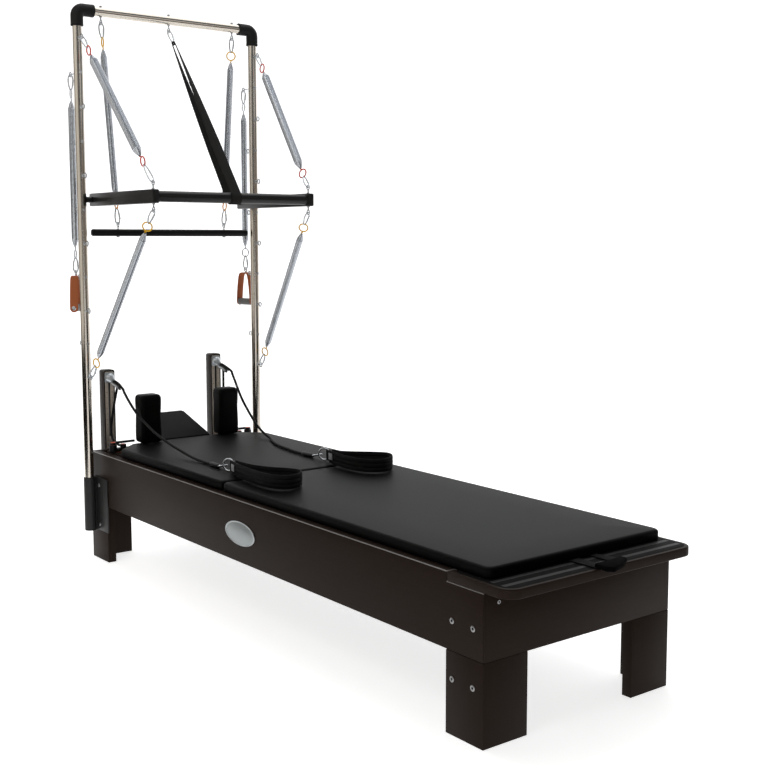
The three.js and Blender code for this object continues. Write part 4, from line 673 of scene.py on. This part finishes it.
bm = bmesh.new()
tube(bm, (tower_x, -333.7, cross_z), (0, 1, 0), 0, 667.4, 14, 16)
for y in (-262, 0, 262):
    eyebolt(bm, (tower_x, y, cross_z), (0, 0, -1), cross_reach)
piece("cross_tube_chrome", bm, [chrome, zinc], "frame", "cross_tube")

# ---- Riser posts and pulleys ----
# Each riser is a black extrusion behind the head rail with a taupe face, a slot and a height
# scale. A galvanised swivel block slides on it and a black knob behind clamps it. The block
# carries a black pulley on a tilted pin.
riser_black = grained(paint("riser_black", (40, 34, 30), 0.45), 1.0, 0.05)
riser_face = grained(paint("riser_face", (190, 180, 167), 0.5), 0.8, 0.03, (1, 1, 40))
galvanised = grained(paint("galvanised", (196, 202, 206), 0.34, 0.9), 4.5, 0.8)
pulley_black = paint("pulley_black", (16, 16, 16), 0.35)

for side, sign in sides.items():
    y = sign * 223
    top = 673 if sign < 0 else 707
    slot_foot, slot_top, face_foot, face_top = 425, top - 18, 374, top - 7
    # X of the plates' outlines is the height and Y runs across
    upright = turned_to((0, y, 0), (0, 0, 1), (1, 0, 0))
    bm = bmesh.new()
    for hole, back, front in ((rounded(slot_foot, -4.5, slot_top, 4.5, 4.4), -80, -45),
                              (rounded(face_foot + 2, -16.5, face_top, 16.5, 3), -45.5, -42)):
        slab(bm, rounded(215, -22, top, 22, 8), back, front, 1, place=upright, hole=hole)
    for low, high, z0, z1 in (
            (-17.2, -4.5, face_foot, face_top), (4.5, 17.2, face_foot, face_top),
            (-4.6, 4.6, face_foot, slot_foot), (-4.6, 4.6, slot_top, face_top)):
        block(bm, (-46, y + low, z0), (-42.4, y + high, z1), 0.3, 1)
    block(bm, (-44, y - 22, 215), (-0.3, y + 22, 372), 1.5)
    for z in range(390, top - 50, 20):
        for way in (-1, 1):
            reach = 6 if z % 100 == 90 else 3.5
            block(bm, (-42.8, y + way * 10.5 - reach / 2, z - 0.6),
                  (-42.2, y + way * 10.5 + reach / 2, z + 0.6), 0.05, 0)
    piece(f"{side}_riser", bm, [riser_black, riser_face], "frame", f"riser_post_{side}")

    centre = Vector((-42, y, top - 28))
    wheel = wheel_centres[side]
    bm = bmesh.new()
    slab(bm, rounded(-19, -19, 19, 19, 6), 0, 6, 1.2, place=placed((-41.7, y, centre.z), 90, "Y"))
    rod(bm, (-88, y, centre.z), (-40, y, centre.z), 3.6)
    turned(bm, (-36, y, centre.z), (1, 0, 0), [(0, 13), (2, 12.5), (5, 9), (8, 8), (11, 8),
                                               (13, 6), (14, 0)], 0, 32)
    neck = centre.lerp(wheel, 0.42)
    reach = (neck - centre).length
    turned(bm, centre, neck - centre, [(0, 0), (0, 18.4), (4, 18.8), (reach * 0.5, 14.6),
                                       (reach - 1, 9.6), (reach + 2, 8), (reach + 2, 0)], 0, 36)
    rod(bm, neck - wheel_axis * 8.3, neck + wheel_axis * 8.3, 4.6)
    # Two cheeks from the neck to the wheel's pin, round at the wheel
    flat = (wheel - neck) - wheel_axis * (wheel - neck).dot(wheel_axis)
    back = -flat.normalized()
    for way in (-1, 1):
        slab(bm, [*arc(10, 90, 270, 12), (flat.length, -5), (flat.length, 5)], -1.1, 1.1, 0.4,
             place=turned_to(wheel + wheel_axis * way * 7.2, back, wheel_axis))
        turned(bm, wheel + wheel_axis * way * 8.2, wheel_axis * way,
               [(0, 5), (0.1, 5), (0.1, 0)], 0, 6)
    rod(bm, wheel - wheel_axis * 8.3, wheel + wheel_axis * 8.3, 3.1)
    piece(f"{side}_pulley_block", bm, [galvanised], f"block_{side}", f"pulley_block_{side}")

    bm = bmesh.new()
    turned(bm, wheel - wheel_axis * 5.5, wheel_axis,
           [(0, 6.5), (0, 18.4), (0.6, 19), (1.6, 18.8), (3.6, 15.4), (5.5, 14.9), (7.4, 15.4),
            (9.4, 18.8), (10.4, 19), (11, 18.4), (11, 6.5), (0, 6.5)], 0, 48)
    tube(bm, wheel - wheel_axis * 5.5, wheel_axis, 0.3, 10.7, 3.4, 6.6, 1, 32)
    piece(f"{side}_pulley", bm, [pulley_black, steel], f"pulley_{side}",
          f"pulley_wheel_{side}")

    bm = bmesh.new()
    lobes = [0.9 + 0.1 * cos(tau * k / 12) for k in range(60)]
    slab(bm, [(x * r, y * r) for (x, y), r in zip(circle(15, 60), lobes)], 0, 17, 2, 0, 3,
         placed((-80.3, y, centre.z), -90, "Y"))
    piece(f"{side}_knob", bm, [riser_black], f"knob_{side}", f"clamp_knob_{side}")

# ---- Carriage ----
# A wooden board on four wheels, with rope locks on its head corners: black posts with orange
# caps and a black cam lever each.
lock_black = paint("lock_black", (18, 18, 19), 0.4)
cap_orange = paint("cap_orange", (205, 84, 52), 0.45)
copper = paint("copper", (176, 104, 66), 0.35, 0.8)
wheel_grey = paint("wheel_grey", (60, 60, 62), 0.5)
# The wheels' places along the carriage and their height, the rope lock posts' place, and the
# levers' faces
wheel_x, axle_z = {"head": 190, "foot": 790}, 332.3
post_x, post_y, lever_low, lever_high = 100, 279, 419, 427
bm = bmesh.new()
block(bm, (50, -280, 369.7), (905, 280, 391.7), 1.2)
for side, sign in sides.items():
    for x in wheel_x.values():
        block(bm, (x - 15.4, sign * 270.2, 317), (x + 15.4, sign * 263.2, 371), 0.8, 1)
        rod(bm, (x, sign * 263.2, axle_z), (x, sign * 284.2, axle_z), 5, 1)
    for y, radius in ((post_y, 14), (240, 11)):
        turned(bm, (post_x, sign * y, 391.5), (0, 0, 1),
               [(0, radius), (25.5, radius), (27.2, radius - 1.5), (27.2, radius - 3)], 1, 40)
        turned(bm, (post_x, sign * y, 418.5), (0, 0, 1),
               [(0, radius - 2), (0.2, radius - 3), (0.2, 0)], 2)
    block(bm, (89, sign * 240, 391.5), (111, sign * post_y, 405.2), 1, 1)
    block(bm, (88, sign * 234, 391.6), (112, sign * 285, 394), 0.3, 3)
piece("carriage_base", bm, [wood_long, lock_black, cap_orange, copper], "carriage",
      "carriage_board")

for side, sign in sides.items():
    for end, x in wheel_x.items():
        bm = bmesh.new()
        turned(bm, (x, sign * 277.5, axle_z), (0, 1, 0),
               [(-7, 8), (-7, 19.8), (-4.8, 22), (4.8, 22), (7, 19.8), (7, 8), (-7, 8)], 0, 48)
        tube(bm, (x, sign * 277.5, axle_z), (0, 1, 0), -6.6, 6.6, 5.4, 8.2, 1, 32)
        piece(f"{side}_{end}_wheel", bm, [wheel_grey, steel], f"wheel_{end}_{side}",
              f"wheel_{end}_{side}")

    bm = bmesh.new()
    y0, y1 = sorted((sign * 284.5, sign * 187))
    slab(bm, rounded(77.5, y0, 88.5, y1, 5), lever_low, lever_high, 2, 0, 3)
    block(bm, (83, sign * 284.5, lever_low), (post_x, sign * 273.5, lever_high), 1.5)
    post = Vector((post_x, sign * post_y, lever_high))
    rod(bm, post - Vector((0, 0, lever_high - lever_low)), post, 11.2, 0, 36)
    turned(bm, post, (0, 0, 1), [(0, 9.5), (0.9, 9.2), (1.2, 8.5), (1.2, 0)], 1)
    piece(f"{side}_lever", bm, [lock_black, cap_orange], f"lever_{side}",
          f"lock_lever_{side}")


# ---- Pads ----
# Firm foam boards covered in black vinyl: the carriage pad with its head corners cut off for
# the rope locks, the mat on the rails and the platform, the tilted headrest and the two
# shoulder rests. Their edges are rounded over and their tops are slightly crowned.
def padded(outline, rings):
    """A pad drawn up from its outline, ring by ring: each has its shares of the outline's width
    and depth, and its height."""
    part = bmesh.new()
    middle = Vector([(min(c) + max(c)) / 2 for c in zip(*outline)])
    (wide, deep, height), *rest = rings
    part.faces.new([part.verts.new((middle.x + (x - middle.x) * wide,
                                    middle.y + (y - middle.y) * deep, height))
                    for x, y in outline])
    edges = part.edges[:]
    for wider, deeper, level in rest:
        fresh, edges = drawn_on(part, edges)
        bmesh.ops.scale(part, vec=(wider / wide, deeper / deep, 1), verts=fresh,
                        space=placed((-middle.x, -middle.y, 0)))
        bmesh.ops.translate(part, vec=(0, 0, level - height), verts=fresh)
        wide, deep, height = wider, deeper, level
    bmesh.ops.contextual_create(part, geom=edges)
    return part


def cushion(bm, outline, low, high, edge, crown):
    """A covered foam board, rounded over at its edges, with a top that swells towards the
    middle."""
    half = [(max(c) - min(c)) / 2 for c in zip(*outline)]
    rings = [(2.5, low), (0.7, low + 0.8), (0, low + 3)]
    rings += [(edge - x, high - crown - edge + y) for x, y in arc(edge, 0, 90, 6)]
    swell = min(110, 0.8 * min(half) - edge)
    rings += [(edge + swell * width, high - crown + crown * sin(pi / 2 * width))
              for width in (0.09, 0.23, 0.41, 0.68, 1)]
    unite(bm, padded(outline, [(*[1 - inset / h for h in half], level) for inset, level in rings]))


vinyl = grained(paint("vinyl", (6, 6, 6), 0.5, 0, 0.056), 1.8, 0.12)

bm = bmesh.new()
cushion(bm, [(909, -285), (905.5, -293.5), (897, -297), (209, -297), (202, -294.5),
             (127.5, -220), (125, -213), (125, 213), (127.5, 220), (202, 294.5), (209, 297),
             (897, 297), (905.5, 293.5), (909, 285)], 392, 424, 8, 3.5)
piece("carriage_cushion", bm, [vinyl], "carriage", "carriage_pad")

bm = bmesh.new()
cushion(bm, rounded(910, -297, 2108, 297, 17), 389.3, 420.8, 8, 3.5)
piece("mat_cushion", bm, [vinyl], "mat", "mat_pad")

bm = bmesh.new()
cushion(bm, rounded(-197, -111, 0, 111, 14), 0, 28, 7, 2)
for vert in bm.verts:
    vert.co.y *= 1 + 0.21 * vert.co.x / 197
hinge_x, hinge_z = 108, 396
move(bm, placed((hinge_x, 0, hinge_z), 22.7, "Y"))
rod(bm, (hinge_x, -90, hinge_z), (hinge_x, 90, hinge_z), 4, 1)
piece("head_cushion", bm, [vinyl, black_steel], "headrest", "headrest")

# The shoulder rests' thickness at shares of their height: they draw in to a waist
waist = [(0.86, 0), (0.95, 0.02), (0.99, 0.06), (1, 0.2), (0.985, 0.38), (0.96, 0.55),
         (0.965, 0.64), (0.995, 0.8), (1, 0.88), (0.985, 0.94), (0.93, 0.975), (0.8, 1)]
rest_height = 171

for side, sign in sides.items():
    bm = bmesh.new()
    y = sign * 159
    unite(bm, padded(rounded(-33, -40, 33, 40, 13, 8),
                     [(thick, thick, share * rest_height) for thick, share in waist]),
          placed((142, y, 424.9)))
    block(bm, (104, y - 14, 392), (109.2, y + 14, 514), 1, 1)
    rod(bm, (106.5, y, 369.8), (106.5, y, 394), 6, 1)
    piece(f"{side}_shoulder_cushion", bm, [vinyl, black_steel], f"rest_{side}",
                      f"shoulder_rest_{side}")

# Pull strap sewn under the mat's foot edge: two flat black webbing strands that lie on the
# platform, with room for the fingers between them, and meet in a thick fold
fold_black = paint("fold_black", (7, 7, 7), 0.9, 0, 0.02)
bm = bmesh.new()
strap_z = 389.7
for strand in ([(2108.5, -42), (2194, -38), (2194, -7), (2108.5, -7)],
               [(2108.5, 32), (2183, 32), (2196, 50), (2182, 70), (2148, 64), (2108.5, 56)]):
    slab(bm, strand, strap_z, strap_z + 3.5, 1.2)
slab(bm, [(2186, -37), (2228, -41), (2242, -28), (2228, 18), (2200, 62), (2178, 60), (2185, 20)],
     strap_z, strap_z + 12.5, 4, 1, 4)
piece("mat_pull_strap", bm, [band_black, fold_black], "mat", "mat_strap")

# ---- Push-through bar and roll-down bar ----
# The push-through bar is a black steel frame that swings between the uprights: two box arms
# and a round bar at their ends. The roll-down bar hangs from two springs.
bar_black = grained(paint("bar_black", (19, 19, 19), 0.35), 1.0, 0.03)
bar_satin = paint("bar_satin", (14, 14, 14), 0.5, 0, 0.12)
# The push bar's height, how far out and above it its eyes are, and the roll-down bar's eyes
push_z, eye_x, eye_rise = 1290, 501, 43.5
roll_y, roll_z = 216, 1204.5
for side, sign in sides.items():
    y = sign * 300
    bm = bmesh.new()
    block(bm, (26, y - 12.5, push_z - 22.5), (520, y + 12.5, push_z + 22.5), 4)
    rod(bm, (tower_x, sign * 310, push_z), (tower_x, sign * 333.7, push_z), 10.5)
    rod(bm, (tower_x, sign * 281.5, push_z), (tower_x, sign * 289, push_z), 9, 0, 6)
    for way in (-1, 1):
        eye(bm, (eye_x, y, push_z + way * eye_rise))
        rod(bm, (eye_x, y, push_z + way * 21), (eye_x, y, push_z + way * 35.5), 2.6, 1)
        turned(bm, (eye_x, y, push_z + way * 22.3), (0, 0, way),
               [(0, 5.5), (3.5, 5.5), (4, 5), (4, 0)], 1, 6)
    piece(f"{side}_push_arm", bm, [bar_black, zinc], "push_bar", f"push_arm_{side}")

bm = bmesh.new()
rod(bm, (500, -287.2, push_z), (500, 287.2, push_z), 18, 0, 48)
piece("push_bar_grip", bm, [bar_black], "push_bar", "push_crossbar")

bm = bmesh.new()
turned(bm, (tower_x, -316, 1175), (0, 1, 0),
       [(0, 0), (0, 9), (1.2, 11.4), (4, 12.5), (628, 12.5), (630.8, 11.4), (632, 9), (632, 0)],
       0, 48)
for y in (-roll_y, roll_y):
    eye(bm, (tower_x, y, roll_z))
    rod(bm, (tower_x, y, 1186), (tower_x, y, 1196.5), 2.6, 1)
    turned(bm, (tower_x, y, 1158), (0, 0, 1), [(0, 0), (0, 4.5), (1, 5.5), (6, 5.5), (6, 0)], 1, 6)
piece("roll_bar_grip", bm, [bar_satin, zinc], "roll_bar", "roll_down_bar")

# ---- Springs ----
# Eight tension springs of bright wire. Each ends in rings whose colour tells its strength,
# red above and yellow below on the push bar, and hangs between two snap hooks.
spring_steel = paint("spring_steel", (198, 202, 208), 0.22, 1)
ring_red = paint("ring_red", (200, 48, 30), 0.4)
ring_yellow = paint("ring_yellow", (232, 178, 16), 0.4)
ring_orange = paint("ring_orange", (226, 146, 26), 0.4)


def spring(kind, side, start, end, radius, rings, body, turns, late=0):
    """A tension spring between two eyes, with its snap hooks and end rings. The rings have
    turned round it by some degrees, and its lower hook is longer by late."""
    hook_end, ring_middle, coil_end = 54, 66.5, 92
    wire, pitch, taper = 2, 4.06, 26
    start, way, length, up = span(start, end)
    place = turned_to(start, up.cross(way), way)
    bm = bmesh.new()
    for near, far in ((0.9, hook_end), (length - 0.9, length - hook_end - late)):
        snap_hook(bm, start + way * near, start + way * far)
    for along, colour, turn in ((ring_middle, 2, turns[0]),
                                (length - ring_middle - late, 3, turns[1])):
        axis = Matrix.Rotation(radians(turn), 3, "Z") @ Vector((1, 0, 0))
        axis = (axis - way * way.dot(axis)).normalized()
        hoop(bm, start + way * along, axis, 15.6, 2.3, colour, 48)

    # A close coil from a circle by a Screw modifier, drawn in over its last turns
    low, high = coil_end, length - coil_end - late
    coil = bmesh.new()
    bmesh.ops.create_circle(coil, radius=wire, segments=8,
                            matrix=placed((radius - wire, 0, low), 90, "X"))
    wound = shown("coil", coil, [])
    winding = wound.modifiers.new("turns", "SCREW")
    winding.steps = winding.render_steps = 18
    winding.iterations = round((high - low) / pitch)
    winding.screw_offset = (high - low) / winding.iterations
    coil = bmesh.new()
    coil.from_mesh(wound.evaluated_get(bpy.context.evaluated_depsgraph_get()).to_mesh())
    bpy.data.objects.remove(wound)
    for vert in coil.verts:
        inside = max(min(vert.co.z - low, high - vert.co.z), 0)
        vert.co.xy *= min(1, 0.3 + 0.7 * (inside / taper) ** 0.8)
    unite(bm, coil, place)
    for along, out, colour in ((low, -1, 2), (high, 1, 3)):
        neck = [(4, 0, along), (2.5, 2, along + out * 3), (0, 1.5, along + out * 5),
                (0, 0, along + out * 9)]
        sweep(bm, [place @ Vector(spot) for spot in neck], circle(2.1, 10), colour)
    return piece(f"{side}_{kind}", bm, [spring_steel, zinc, *rings], body, f"{kind}_{side}")


# Where the handles hang
hang_x, hang_z = tower_x - handle_reach, 1033
for side, sign in sides.items():
    near = sign < 0
    front = [Vector((tower_x + eye_reach, sign * tower_y, z))
             for z in (front_top, front_top - 5 * eye_pitch)]
    arm = [Vector((eye_x, sign * 300, push_z + rise)) for rise in (eye_rise, -eye_rise)]
    upper = spring("upper_spring", side, front[0], arm[0], 15.5, [ring_red, ring_red], None,
                   (84, 84) if near else (90, -65), 24 if near else 0)
    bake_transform(upper)
    lower = spring("lower_spring", side, arm[1], front[1], 12.5, [ring_yellow, ring_yellow], None,
                   (-30, -70))
    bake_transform(lower)
    spring("roll_spring", side, (tower_x, sign * 262, cross_z - cross_reach),
           (tower_x, sign * roll_y, roll_z), 12.5, [ring_yellow, ring_orange], "roll_bar",
           (78 if near else -30, 84), 5)
    spring("handle_spring", side, (hang_x, sign * tower_y, back_top),
           (hang_x, sign * tower_y, hang_z), 12.5, [zinc, zinc], f"handle_{side}",
           (78, 80 if near else -70))

# ---- Handles ----
# A loop of thick brown leather that spreads to a grey grip. A steel cap screw on each side
# holds the strap's rounded end to the grip, and an eye screw its fold.
leather = grained(paint("leather", (178, 100, 60), 0.62, 0, 0.2), 1.4, 0.2, (1, 1, 1), 0.7)
grip_grey = grained(paint("grip_grey", (112, 112, 110), 0.6), 0.8, 0.08)
strap_leg = [(38, -125.5), (36.5, -98), (32, -60), (26, -27), (20.5, -16.5), (11, -13)]
grip_z = -125.3
for side, sign in sides.items():
    hung = (hang_x, sign * tower_y, hang_z)
    bm = bmesh.new()
    strap = smoothed([*[(-x, 0, z) for x, z in strap_leg], (0, 0, -12.4),
                      *[(x, 0, z) for x, z in reversed(strap_leg)]], 6)
    sweep(bm, strap, rounded(-14.5, -2, 14.5, 2, 1.2, 3), across=(0, 1, 0))
    for way in (-1, 1):
        turned(bm, (way * 38, 0, grip_z), (way, 0, 0),
               [(-2, 0), (-2, 13.6), (-1.2, 14.5), (1.2, 14.5), (2, 13.6), (2, 0)], 0, 40)
        turned(bm, (way * 40, 0, grip_z), (way, 0, 0),
               [(-1, 0), (-1, 7.5), (0.6, 7.5), (1, 6.8), (1, 3.6), (0.3, 3.4), (0.3, 0)], 2, 32)
    rod(bm, (-36, 0, grip_z), (36, 0, grip_z), 13, 1, 40)
    rod(bm, (0, 0, -16), (0, 0, -8), 2.6, 2)
    turned(bm, (0, 0, -14.4), (0, 0, -1), [(-1, 0), (-1, 6), (1.5, 6), (2.4, 4), (2.4, 0)], 2, 24)
    move(bm, placed(hung, -38 if sign < 0 else 10))
    eye(bm, hung, 2)
    piece(f"{side}_handle", bm, [leather, grip_grey, zinc], f"handle_{side}",
          f"loop_handle_{side}")

# ---- Safety strap ----
# Black webbing, 38 mm wide, looped from a snap hook on the cross tube round the push bar. A
# black slide buckle gathers its two layers near the top.
buckle_black = paint("buckle", (16, 16, 16), 0.3)
# The strap carries painted shade in the hollows of its weave
strap_black = woven(paint("strap_webbing", (44, 43, 42), 0.85, 0, 0.1), 1.6, 45, 0.2, 0.6)
bar = Vector((500, 0, push_z))
top, way, length, level = span((tower_x, 0, cross_z - cross_reach), bar)
bm = bmesh.new()
snap_hook(bm, top + way * 0.9, top + way * 62)

# The band's line in a plane across the bar: a fold in the hook, well below the eye, down one leg,
# round the grip and up the other
fold, fold_z, wrap, steps = 5.5, 66, 20.3, 40
leg = [(fold + (wrap - fold) * k / steps, fold_z + (length - fold_z) * k / steps)
       for k in range(1, steps)]
line = [*[(-x, fold_z - z) for x, z in arc(fold, 0, 180, 12)], *leg,
        *[(x, length + z) for x, z in arc(wrap, 0, 180, 18)], *[(-x, z) for x, z in reversed(leg)]]
band = bmesh.new()
sweep(band, [(x, 0, z) for x, z in line], rounded(-19, -1.4, 19, 1.4, 0.8, 2),
      across=(0, 1, 0), closed=True)
block(band, (-9, -11, 250), (-3, 11, 268), 2, 2)
# Towards the hook it narrows and turns edge on
for vert in band.verts:
    share = min(max(vert.co.z - fold_z, 0) / (length * 0.62), 1)
    vert.co.y *= 0.55 + 0.45 * share
    vert.co = Matrix.Rotation(radians(-52) * (1 - share) ** 1.3, 3, "Z") @ vert.co
move(band, turned_to(top, level.cross(way), way))
merge(bm, band)
strap = piece("strap", bm, [strap_black, zinc, buckle_black], None, "safety_strap")
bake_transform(strap)

# ---- Studio ----
# A glowing white floor and wall, dim surroundings and soft light from above. Flags, which don't
# show themselves, darken the rails from below and shade the chrome from above. A white shell,
# which does nothing else than show, closes the background all round.
def glow(material, strength):
    """Gives a finish a white light of its own."""
    sockets(material)["Emission Color"].default_value = (1, 1, 1, 1)
    sockets(material)["Emission Strength"].default_value = strength
    return material


white = glow(paint("studio_white", (235, 235, 235), 0.9), 0.75)
shell_white = glow(paint("shell_white", (255, 255, 255), 1, 0, 0), 1)
flag_black = paint("flag", (10, 10, 10), 1, 0, 0)
flag_grey = paint("flag_grey", (128, 120, 112), 1, 0, 0)
flag_pale = paint("flag_pale", (226, 222, 214), 1, 0, 0)
flag_top, screen_top = 0.66, 1.9
for name, low, high, tone in (
        ("near_flag", (-4.5, -1.7, 0), (0.9, -1.66, flag_top), flag_black),
        ("near_screen", (-4.5, -1.7, flag_top), (-1.9, -1.66, screen_top), flag_grey),
        ("near_screen_2", (-1.9, -1.7, flag_top), (0.1, -1.66, 3.4), flag_pale),
        ("near_screen_3", (0.1, -1.7, flag_top), (0.9, -1.66, screen_top), flag_grey),
        ("foot_flag", (2.3, -0.2, 0), (2.34, 4.5, flag_top), flag_black),
        ("foot_screen", (2.3, -0.2, flag_top), (2.34, 4.5, screen_top), flag_grey)):
    bm = bmesh.new()
    cube(bm, low, high)
    flag = shown(name, bm, [tone])
    flag.visible_camera = False
    flag.visible_shadow = tone is not flag_pale

across = Matrix.Rotation(radians(90), 4, "X")
for name, place in (("floor", Matrix()), ("wall", placed((-9, 8, 5), 52) @ across)):
    bm = bmesh.new()
    bmesh.ops.create_grid(bm, x_segments=1, y_segments=1, size=25, matrix=place)
    shown(name, bm, [white])

bm = bmesh.new()
bmesh.ops.create_icosphere(bm, subdivisions=3, radius=24)
shell = shown("shell", bm, [shell_white])
shell.visible_diffuse = shell.visible_glossy = shell.visible_transmission = False
shell.visible_shadow = False

scene.world = scene.world or bpy.data.worlds.new("world")
scene.world.use_nodes = True
sky = scene.world.node_tree.nodes["Background"].inputs
sky["Color"].default_value = (1, 1, 1, 1)
sky["Strength"].default_value = 0.15
scene.view_settings.view_transform = "Standard"

for name, size, power, at, aim in (
        ("key", 2.0, 30, (1.2, -3.2, 3.6), (0, 0, 0.6)),
        ("top", 3.0, 45, (-0.6, 0.6, 4.2), (0, 0, 0.4)),
        ("fill", 2.0, 8, (3.6, 1.8, 2.2), (0, 0, 0.6))):
    light = bpy.data.lights.new(name, "AREA")
    light.size, light.energy = size, power
    lamp = bpy.data.objects.new(name, light)
    lamp.location = at
    lamp.rotation_euler = (Vector(at) - Vector(aim)).to_track_quat("Z", "Y").to_euler()
    bpy.context.collection.objects.link(lamp)
